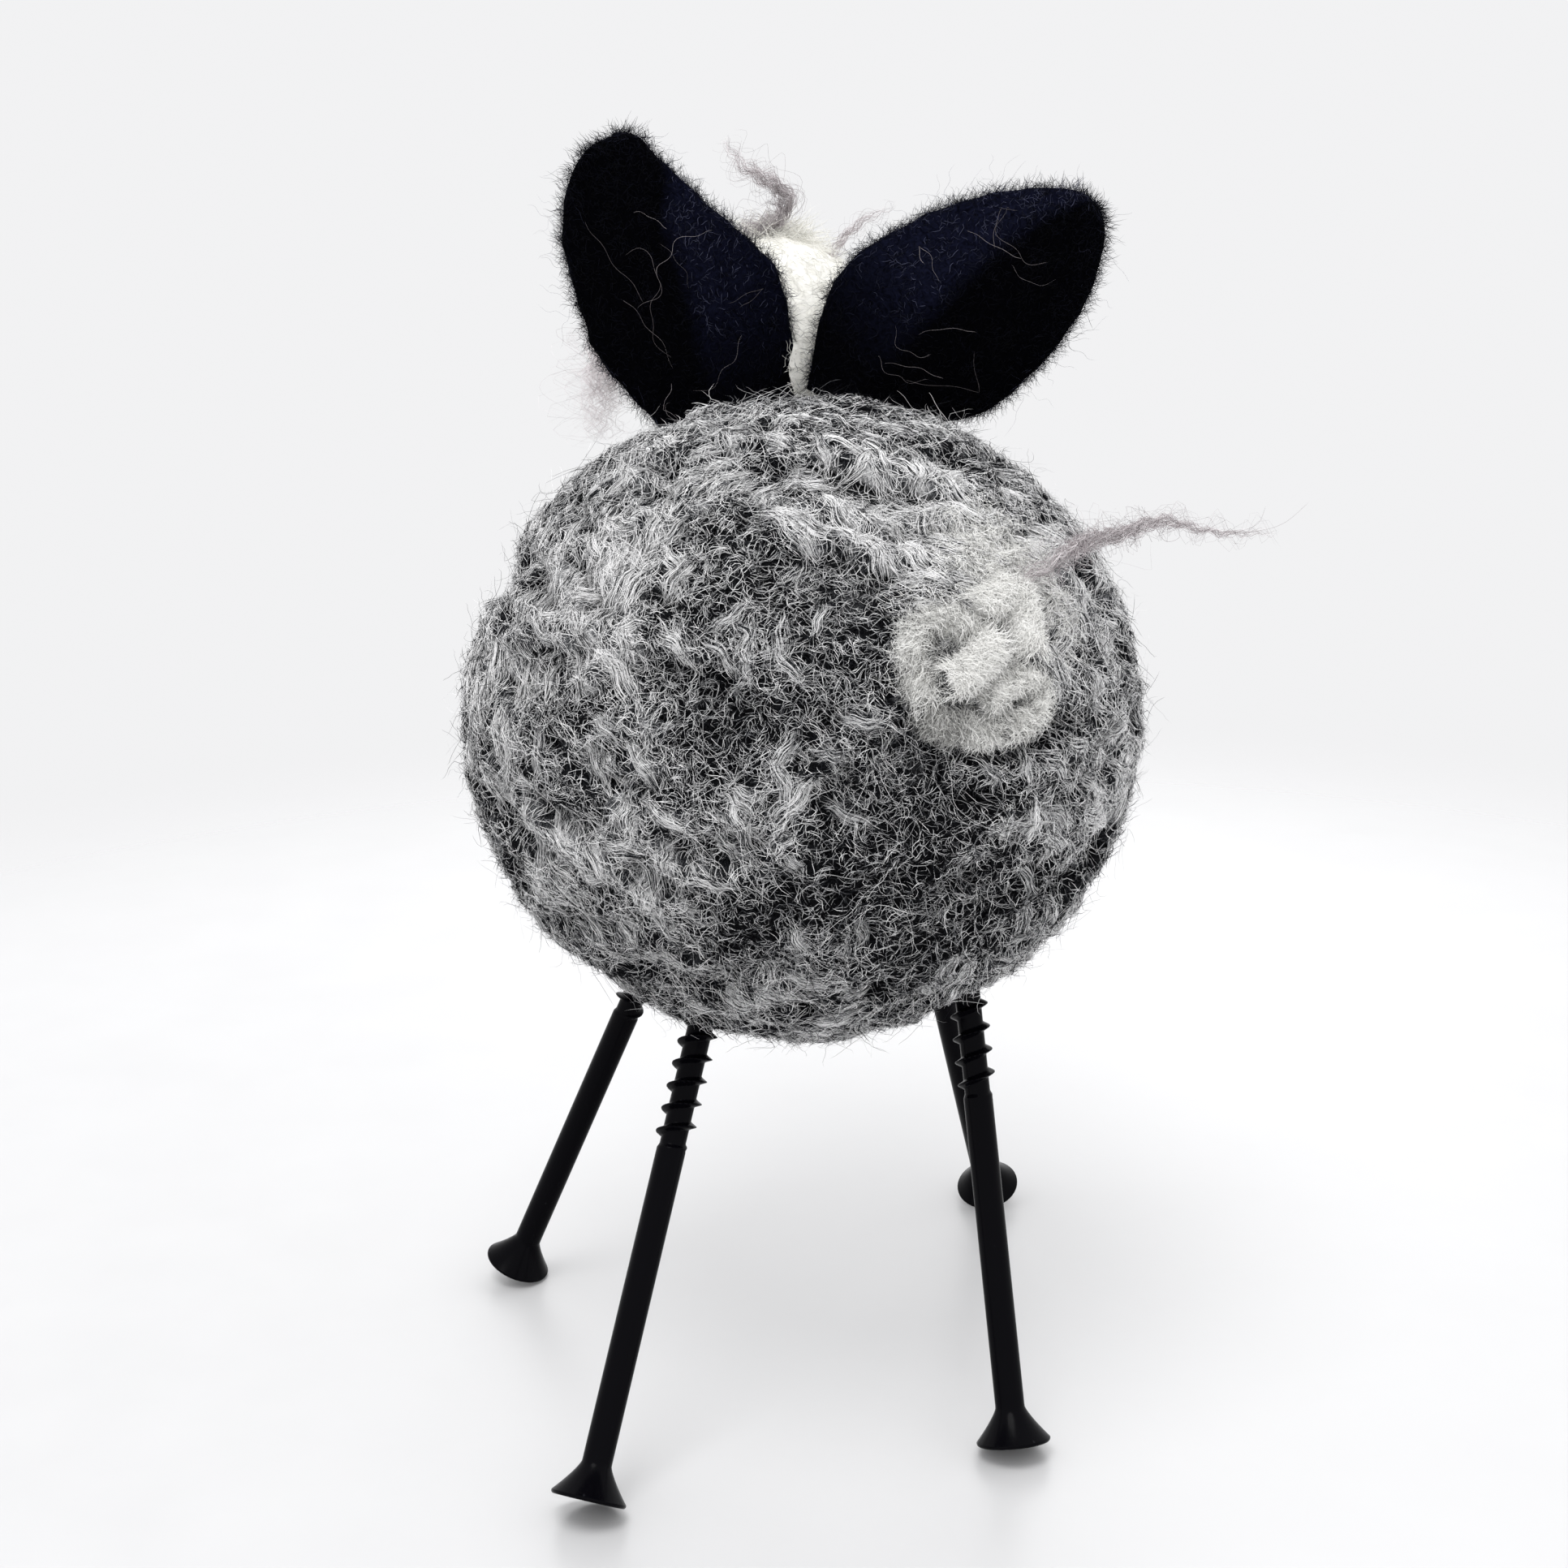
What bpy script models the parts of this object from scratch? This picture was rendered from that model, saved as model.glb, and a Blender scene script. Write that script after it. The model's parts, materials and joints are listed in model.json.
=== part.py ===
"""A yarn ball animal that stands on four screws: core, wound yarn, felt head and ears, tail."""

import math

import bmesh
import bpy
from mathutils import Matrix, Vector

# Driving dimensions, in metres. +Y is the way the animal faces, +Z is up.
BOX_MIDDLE = Vector((0.0033, 0.0081, 0.0))  # from the ball's axis to the middle of the whole box
GAP = 0.0003

BALL_CENTRE = Vector((0.0, 0.0, 0.0788))
BALL_RADIUS = 0.0385
BALL_HALF_HEIGHT = 0.0365
CORE_RADIUS = 0.0300

SCREW_LENGTH = 0.0890
SCREW_HEAD_RADIUS = 0.00415
SCREW_RIM = 0.0004
SCREW_CONE = 0.0036
SHANK_RADIUS = 0.00165
SHANK_LENGTH = 0.0387
THREAD_RADIUS = 0.0022
ROOT_RADIUS = 0.00145
THREAD_PITCH = 0.0026
TIP_LENGTH = 0.0070
TIP_SCALE = 0.12
CREST_TOP = 0.84 * THREAD_PITCH
CREST_FOOT = 0.68 * THREAD_PITCH
FLARE_POWER = 1.25
FLARE_SHARES = (1.0, 0.8, 0.5, 0.0)
SHANK_OVERLAP = 0.0002
RECESS_DEPTH = 0.0024
RECESS_REACH = 0.0022
RECESS_WIDTH = 0.0011
RECESS_TAPER = 0.5
BORE_RADIUS = THREAD_RADIUS + GAP + 0.00005
BORE_START = SHANK_LENGTH - 0.0060
# Each leg: where the middle of its screw head stands, and how far it leans for each metre of height.
LEGS = {
    "rear_left_leg": ((-0.0272, -0.0385), (0.322, 0.587)),
    "rear_right_leg": ((0.0203, -0.0295), (-0.060, 0.368)),
    "front_left_leg": ((-0.0374, 0.0211), (0.440, -0.114)),
    "front_right_leg": ((0.0266, 0.0382), (-0.229, -0.445)),
}

HEAD_CENTRE = Vector((0.0, 0.0407, 0.1146))
HEAD_HALF_WIDTH = 0.0130
HEAD_HALF_LENGTH = 0.0180
HEAD_HALF_HEIGHT = 0.0160
HEAD_PITCH = math.radians(25)
MUZZLE_TAPER = 0.32
FELT = 0.0015
PEG_RADIUS = 0.0025
PEG_START = 0.0190
PEG_END = 0.0490
PEG_HOLE_END = BALL_RADIUS + 0.0040

EAR_LENGTH = 0.0345
EAR_HALF_WIDTH = 0.0112
EAR_FOLD_DEPTH = 0.0046
EAR_BASE_SHARE = 0.50
EAR_WIDEST = 0.42
EARS = {
    "ear_left": (Vector((-0.0068, 0.0195, 0.1118)), Vector((-0.0113, -0.0060, 0.0313))),
    "ear_right": (Vector((0.0074, 0.0195, 0.1124)), Vector((0.0282, -0.0060, 0.0215))),
}

EYE_RADIUS = 0.0015
EYE_PROUD = 0.0006
EYE_PLACE = Vector((0.62, 0.55, 0.52))
NOSE_PLACE = Vector((0.0, 0.98, -0.12))
NOSE_RADII = (0.0026, 0.0007, 0.0016)

CURLS = {
    "curl_top": (0.0013, [(0.0, 0.0385, 0.1326), (0.0026, 0.0380, 0.1343), (0.0016, 0.0378, 0.1365),
                          (-0.0012, 0.0378, 0.1382), (-0.0046, 0.0380, 0.1415)]),
    "curl_right": (0.0009, [(0.0062, 0.0395, 0.1318), (0.0088, 0.0397, 0.1322),
                            (0.0112, 0.0395, 0.1338), (0.0142, 0.0390, 0.1345)]),
    "curl_left": (0.0018, [(-0.0116, 0.0415, 0.1270), (-0.0165, 0.0412, 0.1266), (-0.0205, 0.0400, 0.1222),
                           (-0.0212, 0.0392, 0.1160), (-0.0226, 0.0390, 0.1085)]),
}

TAIL_PLACE = Vector((0.0158, -0.0332, 0.0908))
TAIL_RADIUS = 0.0080
TAIL_HALF_THICKNESS = 0.0030
WISP_RADIUS = 0.0011
WISP = [(0.0262, -0.0262, 0.1010), (0.0292, -0.0205, 0.1020), (0.0330, -0.0170, 0.1026),
        (0.0375, -0.0152, 0.1030), (0.0430, -0.0146, 0.1020), (0.0476, -0.0145, 0.1011)]

NECK_AXIS = (HEAD_CENTRE - BALL_CENTRE).normalized()

# How finely the round pieces are divided: segments and rings, or sides.
BALL_GRID = (28, 16)
CORE_GRID = (24, 14)
HEAD_GRID = (24, 14)
LINING_GRID = (20, 12)
ROSETTE_GRID = (16, 8)
BEAD_GRID = (12, 8)
SHANK_SIDES = 16
THREAD_SIDES = 8
BORE_SIDES = 12
PEG_SIDES = 16
EAR_ROWS = 10
EAR_COLUMNS = 3
TUFT_POINTS = 12
TUFT_TAPER = 0.45
MERGE = 0.00001
SHARP_ANGLE = math.radians(35)


def clear_scene():
    for obj in list(bpy.data.objects):
        bpy.data.objects.remove(obj)


def make_material(name, colour, roughness, metallic=0.0):
    material = bpy.data.materials.new(name)
    material.use_nodes = True
    shader = material.node_tree.nodes["Principled BSDF"]
    shader.inputs["Base Color"].default_value = (*colour, 1.0)
    shader.inputs["Roughness"].default_value = roughness
    shader.inputs["Metallic"].default_value = metallic
    return material


def make_collection(name):
    collection = bpy.data.collections.new(name)
    bpy.context.scene.collection.children.link(collection)
    return collection


def add_object(name, data, collection, parent=None, matrix=None):
    obj = bpy.data.objects.new(name, data)
    collection.objects.link(obj)
    obj.parent = parent
    if matrix is not None:
        obj.matrix_local = matrix
    return obj


def add_empty(name, collection, parent, location):
    return add_object(name, None, collection, parent, Matrix.Translation(location))


def frame_along(direction, location):
    """A matrix whose local +Z runs along the direction, from the location."""
    turn = Vector((0, 0, 1)).rotation_difference(direction)
    return Matrix.Translation(location) @ turn.to_matrix().to_4x4()


def mesh_from(bm, name):
    mesh = bpy.data.meshes.new(name)
    bm.to_mesh(mesh)
    bm.free()
    return mesh


def ball_mesh(name, radii, segments, rings):
    bm = bmesh.new()
    bmesh.ops.create_uvsphere(bm, u_segments=segments, v_segments=rings, radius=1.0)
    bmesh.ops.scale(bm, vec=radii, verts=bm.verts)
    return mesh_from(bm, name)


def rod_mesh(name, radius, start, end, segments):
    """A cylinder on the local Z axis, from start to end."""
    bm = bmesh.new()
    bmesh.ops.create_cone(bm, cap_ends=True, segments=segments, radius1=radius, radius2=radius,
                          depth=end - start)
    bmesh.ops.translate(bm, vec=(0, 0, (start + end) / 2), verts=bm.verts)
    return mesh_from(bm, name)


def evaluated_mesh(obj, name):
    bpy.context.view_layer.update()
    graph = bpy.context.evaluated_depsgraph_get()
    return bpy.data.meshes.new_from_object(obj.evaluated_get(graph), depsgraph=graph)


def add_cut(target, cutter, operation="DIFFERENCE"):
    cut = target.modifiers.new(cutter.name, "BOOLEAN")
    cut.object = cutter
    cut.operation = operation


def hide_cutter(obj):
    obj.hide_render = True
    obj.display_type = "WIRE"


def sweep_profile(name, profile, collection, steps, turns=1, offset=0.0):
    """Turns a profile of (radius, height) points, listed top to bottom, round the Z axis."""
    mesh = bpy.data.meshes.new(name)
    points = [(radius, 0.0, height) for radius, height in profile]
    mesh.from_pydata(points, [(i, i + 1) for i in range(len(points) - 1)], [])
    obj = add_object(name, mesh, collection)
    screw = obj.modifiers.new("Turn", "SCREW")
    screw.steps = screw.render_steps = steps
    screw.iterations = turns
    screw.screw_offset = offset
    screw.use_merge_vertices = True
    screw.merge_threshold = MERGE
    return obj


def cap_thread_ends(bm):
    """Closes each open end of the thread with a fan from a point on the axis."""
    edges = [edge for edge in bm.edges if edge.is_boundary]
    middle = sum(vert.co.z for vert in bm.verts) / len(bm.verts)
    for side in (-1, 1):
        rim = [edge for edge in edges if (edge.verts[0].co.z - middle) * side > 0]
        height = sum((edge.verts[0].co.z + edge.verts[1].co.z) / 2 for edge in rim) / len(rim)
        hub = bm.verts.new((0, 0, height))
        for edge in rim:
            bm.faces.new((edge.verts[0], edge.verts[1], hub))
    bmesh.ops.recalc_face_normals(bm, faces=bm.faces)


def taper_tip(bm):
    for vert in bm.verts:
        along = max(0.0, (vert.co.z - SCREW_LENGTH + TIP_LENGTH) / TIP_LENGTH)
        scale = 1.0 - min(along, 1.0) * (1.0 - TIP_SCALE)
        vert.co.x *= scale
        vert.co.y *= scale


def thread_object(cutters):
    """The threaded length of a screw as one closed body, up to its point."""
    pitch = THREAD_PITCH
    start = SHANK_LENGTH - 0.5 * pitch
    turns = int((SCREW_LENGTH - start) / pitch) - 1
    profile = [(ROOT_RADIUS, pitch), (THREAD_RADIUS, CREST_TOP), (ROOT_RADIUS, CREST_FOOT),
               (ROOT_RADIUS, 0.0)]
    swept = sweep_profile("thread_sweep", profile, cutters, THREAD_SIDES, turns, pitch)
    mesh = evaluated_mesh(swept, "thread")
    bpy.data.objects.remove(swept)
    bm = bmesh.new()
    bm.from_mesh(mesh)
    bmesh.ops.remove_doubles(bm, verts=bm.verts, dist=2 * MERGE)
    bmesh.ops.translate(bm, vec=(0, 0, start), verts=bm.verts)
    cap_thread_ends(bm)
    taper_tip(bm)
    return add_object("thread_cutter", mesh_from(bm, "thread"), cutters)


def recess_object(cutters):
    """The tapered cross that a screwdriver fits, cut into the flat of the head."""
    bm = bmesh.new()
    rings = []
    for depth, scale in ((-GAP, 1.0), (RECESS_DEPTH, RECESS_TAPER)):
        reach = RECESS_REACH * scale
        half = RECESS_WIDTH / 2 * scale
        ring = []
        for quarter in range(4):
            turn = Matrix.Rotation(quarter * math.pi / 2, 3, "Z")
            for x, y in ((reach, -half), (reach, half), (half, half)):
                ring.append(bm.verts.new(turn @ Vector((x, y, depth))))
        rings.append(ring)
    low, high = rings
    for i, vert in enumerate(low):
        after = (i + 1) % len(low)
        bm.faces.new((vert, low[after], high[after], high[i]))
    bm.faces.new(low)
    bm.faces.new(high)
    bmesh.ops.recalc_face_normals(bm, faces=bm.faces)
    return add_object("recess_cutter", mesh_from(bm, "recess"), cutters)


def screw_mesh(cutters):
    """One bugle head screw: flat of the head at local 0, point at the far end of +Z."""
    flare = [(SHANK_RADIUS + (SCREW_HEAD_RADIUS - SHANK_RADIUS) * (1 - t) ** FLARE_POWER,
              SCREW_RIM + (SCREW_CONE - SCREW_RIM) * t) for t in FLARE_SHARES]
    top = SHANK_LENGTH + SHANK_OVERLAP
    profile = [(0, top), (SHANK_RADIUS, top), *flare, (SCREW_HEAD_RADIUS, 0), (0, 0)]
    shank = sweep_profile("shank", profile, cutters, SHANK_SIDES)
    thread = thread_object(cutters)
    recess = recess_object(cutters)
    add_cut(shank, thread, "UNION")
    add_cut(shank, recess)
    mesh = evaluated_mesh(shank, "leg_screw")
    for obj in (shank, thread, recess):
        bpy.data.objects.remove(obj)
    mesh.shade_smooth()
    mesh.set_sharp_from_angle(angle=SHARP_ANGLE)
    return mesh


def leg_frame(foot, lean):
    """The screw's frame: the lowest point of its tilted rim touches the ground."""
    direction = Vector((lean[0], lean[1], 1.0)).normalized()
    rise = SCREW_HEAD_RADIUS * math.sin(math.acos(direction.z))
    return frame_along(direction, Vector((foot[0], foot[1], rise)))


def make_legs(parts, cutters, body):
    """The four screws, and the bores that they pass through the yarn and the core in."""
    mesh = screw_mesh(cutters)
    mesh.materials.append(make_material("black_phosphate", (0.012, 0.012, 0.016), 0.32, 0.6))
    bores = []
    for name, (foot, lean) in LEGS.items():
        matrix = leg_frame(foot, lean)
        add_object(name, mesh, parts, body, matrix)
        bore = rod_mesh(name + "_bore", BORE_RADIUS, BORE_START, SCREW_LENGTH + GAP, BORE_SIDES)
        bores.append(add_object(name + "_bore", bore, cutters, body, matrix))
    return bores


def make_ball(parts, cutters, body, bores):
    """The felted core and, round it, the wound yarn as one thick shell."""
    centre = Matrix.Translation(BALL_CENTRE)
    neck = frame_along(NECK_AXIS, BALL_CENTRE)
    hole = rod_mesh("peg_hole", PEG_RADIUS + GAP, PEG_START - GAP, PEG_HOLE_END, PEG_SIDES)
    holes = bores + [add_object("peg_hole", hole, cutters, body, neck)]

    core = ball_mesh("core_ball", (CORE_RADIUS,) * 3, *CORE_GRID)
    core.materials.append(make_material("core_wool", (0.62, 0.59, 0.54), 0.95))
    core_ball = add_object("core_ball", core, parts, body, centre)

    radii = (BALL_RADIUS, BALL_RADIUS, BALL_HALF_HEIGHT)
    wrap = ball_mesh("yarn_wrap", radii, *BALL_GRID)
    wrap.materials.append(make_material("grey_yarn", (0.10, 0.105, 0.11), 0.95))
    yarn_wrap = add_object("yarn_wrap", wrap, parts, body, centre)
    hollow = ball_mesh("core_hollow", (CORE_RADIUS + GAP,) * 3, *CORE_GRID)
    add_cut(yarn_wrap, add_object("core_hollow", hollow, cutters, body, centre))
    for cutter in holes:
        add_cut(core_ball, cutter)
        add_cut(yarn_wrap, cutter)

    peg = rod_mesh("neck_peg", PEG_RADIUS, PEG_START, PEG_END, PEG_SIDES)
    peg.materials.append(make_material("birch", (0.72, 0.55, 0.36), 0.6))
    add_object("neck_peg", peg, parts, body, neck)


def head_mesh(name, inset, segments, rings):
    """The head's egg, with its muzzle narrower towards local +Y."""
    radii = (HEAD_HALF_WIDTH - inset, HEAD_HALF_LENGTH - inset, HEAD_HALF_HEIGHT - inset)
    mesh = ball_mesh(name, radii, segments, rings)
    for vert in mesh.vertices:
        forward = max(0.0, vert.co.y / HEAD_HALF_LENGTH)
        scale = 1.0 - MUZZLE_TAPER * forward ** 1.5
        vert.co.x *= scale
        vert.co.z *= scale
    return mesh


def on_head(place, out):
    """A point the given distance off the head, where place gives the shares of its half sizes."""
    unit = place.normalized()
    scale = 1.0 - MUZZLE_TAPER * max(0.0, unit.y) ** 1.5
    surface = Vector((unit.x * HEAD_HALF_WIDTH * scale, unit.y * HEAD_HALF_LENGTH,
                      unit.z * HEAD_HALF_HEIGHT * scale))
    normal = Vector((unit.x / HEAD_HALF_WIDTH, unit.y / HEAD_HALF_LENGTH, unit.z / HEAD_HALF_HEIGHT))
    return surface + normal.normalized() * out


def make_head(parts, cutters, head):
    """Felt skin, stuffing, bead eyes and a stitched nose, all on the head's empty."""
    tilt = Matrix.Rotation(-HEAD_PITCH, 4, "X")
    neck = frame_along(NECK_AXIS, BALL_CENTRE - HEAD_CENTRE)
    hole = rod_mesh("head_hole", PEG_RADIUS + GAP, BALL_HALF_HEIGHT, PEG_END + GAP, PEG_SIDES)
    hole_cutter = add_object("head_hole", hole, cutters, head, neck)

    skin = head_mesh("head_felt", 0.0, *HEAD_GRID)
    skin.materials.append(make_material("cream_felt", (0.80, 0.76, 0.68), 0.95))
    head_felt = add_object("head_felt", skin, parts, head, tilt)
    hollow = head_mesh("head_hollow", FELT, *LINING_GRID)
    add_cut(head_felt, add_object("head_hollow", hollow, cutters, head, tilt))
    add_cut(head_felt, hole_cutter)

    filling = head_mesh("head_stuffing", FELT + 2 * GAP, *LINING_GRID)
    filling.materials.append(make_material("stuffing", (0.90, 0.90, 0.88), 0.95))
    stuffing = add_object("head_stuffing", filling, parts, head, tilt)
    add_cut(stuffing, hole_cutter)

    bead = ball_mesh("eye", (EYE_RADIUS,) * 3, *BEAD_GRID)
    bead.materials.append(make_material("black_bead", (0.006, 0.006, 0.007), 0.08))
    socket = ball_mesh("eye_socket", (EYE_RADIUS + GAP,) * 3, *BEAD_GRID)
    for name, side in (("eye_left", -1), ("eye_right", 1)):
        place = Vector((EYE_PLACE.x * side, EYE_PLACE.y, EYE_PLACE.z))
        centre = Matrix.Translation(tilt @ on_head(place, EYE_PROUD))
        add_object(name, bead, parts, head, centre)
        add_cut(head_felt, add_object(name + "_socket", socket, cutters, head, centre))

    stitches = ball_mesh("nose_stitches", NOSE_RADII, *BEAD_GRID)
    stitches.materials.append(make_material("nose_thread", (0.05, 0.045, 0.05), 0.7))
    centre = tilt @ Matrix.Translation(on_head(NOSE_PLACE, NOSE_RADII[1] + 2 * GAP))
    add_object("nose_stitches", stitches, parts, head, centre)


def ear_half_width(t):
    """Half the leaf's width at a share t of its length: pinched base, rounded tip."""
    swell = EAR_BASE_SHARE + (1.0 - EAR_BASE_SHARE) * math.sin(math.pi / 2 * min(t / EAR_WIDEST, 1.0))
    past = max(0.0, (t - EAR_WIDEST) / (1.02 - EAR_WIDEST))
    return EAR_HALF_WIDTH * swell * (1.0 - past ** 2) ** 0.75


def ear_mesh(name):
    """A leaf of felt with its long fold along local Z, the fold's ridge towards local -Y."""
    bm = bmesh.new()
    grid = []
    for row in range(EAR_ROWS + 1):
        t = row / EAR_ROWS
        half = ear_half_width(t)
        line = []
        for column in range(-EAR_COLUMNS, EAR_COLUMNS + 1):
            share = column / EAR_COLUMNS
            depth = EAR_FOLD_DEPTH * abs(share) * half / EAR_HALF_WIDTH
            line.append(bm.verts.new((half * share, depth, EAR_LENGTH * t)))
        grid.append(line)
    for low, high in zip(grid, grid[1:]):
        for i in range(2 * EAR_COLUMNS):
            bm.faces.new((low[i], low[i + 1], high[i + 1], high[i]))
    return mesh_from(bm, name)


def make_ears(parts, head):
    felt = make_material("black_felt", (0.010, 0.011, 0.020), 0.95)
    for name, (base, reach) in EARS.items():
        up = reach.normalized()
        across = Vector((0, 1, 0)).cross(up).normalized()
        turn = Matrix((across, up.cross(across), up)).transposed().to_4x4()
        mesh = ear_mesh(name)
        mesh.materials.append(felt)
        ear = add_object(name, mesh, parts, head, Matrix.Translation(base - HEAD_CENTRE) @ turn)
        thick = ear.modifiers.new("Felt", "SOLIDIFY")
        thick.thickness = FELT
        thick.offset = 0.0


def smooth_route(points, count):
    """Points along the smooth curve that passes through all the given ones."""
    knots = [Vector(point) for point in points]
    knots = [2 * knots[0] - knots[1], *knots, 2 * knots[-1] - knots[-2]]
    spans = len(knots) - 3
    route = []
    for i in range(count + 1):
        place = min(i / count * spans, spans - 1e-6)
        span, t = int(place), place - int(place)
        a, b, c, d = knots[span:span + 4]
        route.append(0.5 * (2 * b + (c - a) * t + (2 * a - 5 * b + 4 * c - d) * t * t
                            + (3 * b - a - 3 * c + d) * t ** 3))
    return route


def make_strand(name, points, radius, material, parts, parent, shift):
    """A soft tuft along a route, thinner towards its free end."""
    curve = bpy.data.curves.new(name, "CURVE")
    curve.dimensions = "3D"
    curve.bevel_depth = radius
    curve.bevel_resolution = 2
    curve.use_fill_caps = True
    curve.materials.append(material)
    route = smooth_route(points, TUFT_POINTS)
    spline = curve.splines.new("POLY")
    spline.points.add(len(route) - 1)
    for i, (point, place) in enumerate(zip(spline.points, route)):
        point.co = (*(place - shift), 1.0)
        point.radius = 1.0 - TUFT_TAPER * i / len(route)
    return add_object(name, curve, parts, parent)


def make_tail(parts, body, roving):
    """A rosette of pale yarn on the rump, and the wisp that stands out of it."""
    offset = TAIL_PLACE - BALL_CENTRE
    normal = Vector((offset.x / BALL_RADIUS ** 2, offset.y / BALL_RADIUS ** 2,
                     offset.z / BALL_HALF_HEIGHT ** 2)).normalized()
    mesh = ball_mesh("tail_rosette", (TAIL_RADIUS, TAIL_RADIUS, TAIL_HALF_THICKNESS), *ROSETTE_GRID)
    mesh.materials.append(make_material("cream_yarn", (0.74, 0.73, 0.68), 0.95))
    place = TAIL_PLACE + normal * (TAIL_HALF_THICKNESS + 2 * GAP)
    add_object("tail_rosette", mesh, parts, body, frame_along(normal, place))
    make_strand("tail_wisp", WISP, WISP_RADIUS, roving, parts, body, Vector())


def build():
    clear_scene()
    parts = make_collection("yarn_sheep")
    cutters = make_collection("cutters")
    body = add_empty("body_frame", parts, None, -BOX_MIDDLE)
    head = add_empty("head_frame", parts, body, HEAD_CENTRE)
    roving = make_material("pink_grey_roving", (0.50, 0.46, 0.46), 0.95)
    bores = make_legs(parts, cutters, body)
    make_ball(parts, cutters, body, bores)
    make_head(parts, cutters, head)
    make_ears(parts, head)
    for name, (radius, points) in CURLS.items():
        make_strand(name, points, radius, roving, parts, head, HEAD_CENTRE)
    make_tail(parts, body, roving)
    for cutter in cutters.objects:
        hide_cutter(cutter)


build()
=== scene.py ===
import json
import math

import bmesh
import bpy
import numpy as np
from mathutils import Matrix, Vector, noise
from mathutils.bvhtree import BVHTree
from mathutils.kdtree import KDTree


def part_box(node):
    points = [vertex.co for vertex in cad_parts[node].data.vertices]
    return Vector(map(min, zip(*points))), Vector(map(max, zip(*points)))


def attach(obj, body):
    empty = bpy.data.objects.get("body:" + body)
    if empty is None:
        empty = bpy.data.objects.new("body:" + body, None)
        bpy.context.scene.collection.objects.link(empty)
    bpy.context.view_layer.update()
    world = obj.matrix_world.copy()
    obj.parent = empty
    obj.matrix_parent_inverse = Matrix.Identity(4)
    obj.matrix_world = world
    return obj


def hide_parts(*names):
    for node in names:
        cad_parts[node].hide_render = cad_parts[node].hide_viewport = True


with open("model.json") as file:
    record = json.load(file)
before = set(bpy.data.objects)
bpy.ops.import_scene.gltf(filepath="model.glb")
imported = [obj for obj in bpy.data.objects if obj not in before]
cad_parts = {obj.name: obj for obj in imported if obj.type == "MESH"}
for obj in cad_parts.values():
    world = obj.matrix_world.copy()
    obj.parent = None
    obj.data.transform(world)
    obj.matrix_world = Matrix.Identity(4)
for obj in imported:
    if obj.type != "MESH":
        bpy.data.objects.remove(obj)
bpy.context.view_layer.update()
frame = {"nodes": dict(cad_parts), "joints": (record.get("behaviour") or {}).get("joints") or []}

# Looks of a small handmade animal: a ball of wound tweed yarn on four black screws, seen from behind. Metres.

RNG = np.random.default_rng(7)
SWIRLS = tuple((way / np.linalg.norm(way) * size, start) for way, size, start in
               zip(RNG.normal(size=(7, 3)), (0.6, 0.7, 0.8, 0.9, 1.0, 1.1, 1.3), RNG.random(7) * 6.28))
MM = 0.001
MOST_TRIANGLES = 180000

# The ball, as a sphere that is flattened along Z at the end
BALL_LOW, BALL_HIGH = (np.array(corner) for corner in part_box("yarn_wrap"))
BALL_CENTRE = (BALL_LOW + BALL_HIGH) / 2
BALL_RADIUS = (BALL_HIGH - BALL_LOW)[0] / 2
FLATTEN = np.array((1, 1, (BALL_HIGH - BALL_LOW)[2] / 2 / BALL_RADIUS))
BASE_RADIUS = BALL_RADIUS - 4.6 * MM
SKIN_RADIUS = BALL_RADIUS - 1.0 * MM
YARN_RADIUS = 1.45 * MM
SAMPLES_A_TURN = 240
PLY_PITCH = 6.5 * MM
PLY_TWIST = 2 * math.pi / PLY_PITCH
PLY_SLANT = -0.95
YARN_SIDES = 10
EVENING = 0.15
RELIEF = 0.58
GROUND_DEPTH = 2.3 * MM
SEEN_SIDE = np.array((0.0, -0.32, 0.06))    # the fuzz is denser on the side that the photo shows

# Pale and dark patches of the tweed: azimuth from -Y towards +X, elevation, size (degrees), change of shade
PATCHES = (
    (-41, 31, 9, 0.6), (-56, 31, 7, 0.2), (-49, 38, 6, 0.4), (-31, 29, 5, -0.2), (-62, 58, 6, 0.3),
    (17, 21, 6, 0.15), (-80, 27, 7, 0.2), (-48, 43, 8, 0.5), (-34, 44, 7, 0.25), (-65, 53, 8, 0.35),
    (-26, 57, 8, 0.25), (-30, 66, 9, 0.1), (10, 39, 6, 0.15), (-61, 47, 6, -0.1), (-39, 12, 6, -0.3),
    (-20, 66, 6, -0.15), (59, 38, 5, 0.2), (-80, 40, 6, -0.2), (5, 47, 8, 0.45), (21, 55, 8, 0.4),
    (37, 53, 8, 0.5), (33, 44, 6, 0.35),
    (30, 36, 8, 0.35), (41, 38, 7, 0.4), (22, 31, 6, 0.25), (48, 29, 8, 0.6), (42, 20, 6, 0.6),
    (-1, 39, 6, -0.15), (-39, 62, 6, -0.15), (10, 12, 5, -0.1), (70, 24, 7, 0.6),
    (59, 38, 7, 0.7), (53, -1, 7, 0.35), (55, -12, 7, 0.35), (64, -4, 7, 0.35), (38, -6, 6, 0.3),
    (46, -39, 8, 0.2),
    (-62, 17, 8, 0.4), (-62, 2, 7, 0.35), (-36, 15, 8, 0.2), (-28, 9, 7, 0.15), (-35, -2, 7, 0.25),
    (-45, -14, 8, 0.35), (-29, -18, 7, 0.35), (-8, -1, 6, 0.1), (-17, 3, 7, -0.2), (0, 62, 6, 0.2),
    (-57, -13, 9, 0.2), (-9, -37, 9, 0.35),
    (-34, -37, 8, 0.4), (6, -15, 13, -0.40), (22, -3, 8, -0.35), (18, 7, 7, -0.35), (30, -16, 10, -0.35),
    (10, 29, 7, -0.25), (-18, 46, 6, -0.3), (-8, 18, 12, -0.2), (-18, 33, 6, -0.2), (-17, 8, 5, -0.25),
    (-12, -22, 9, -0.3), (12, -36, 8, -0.3), (52, -32, 8, -0.2),
)

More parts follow.
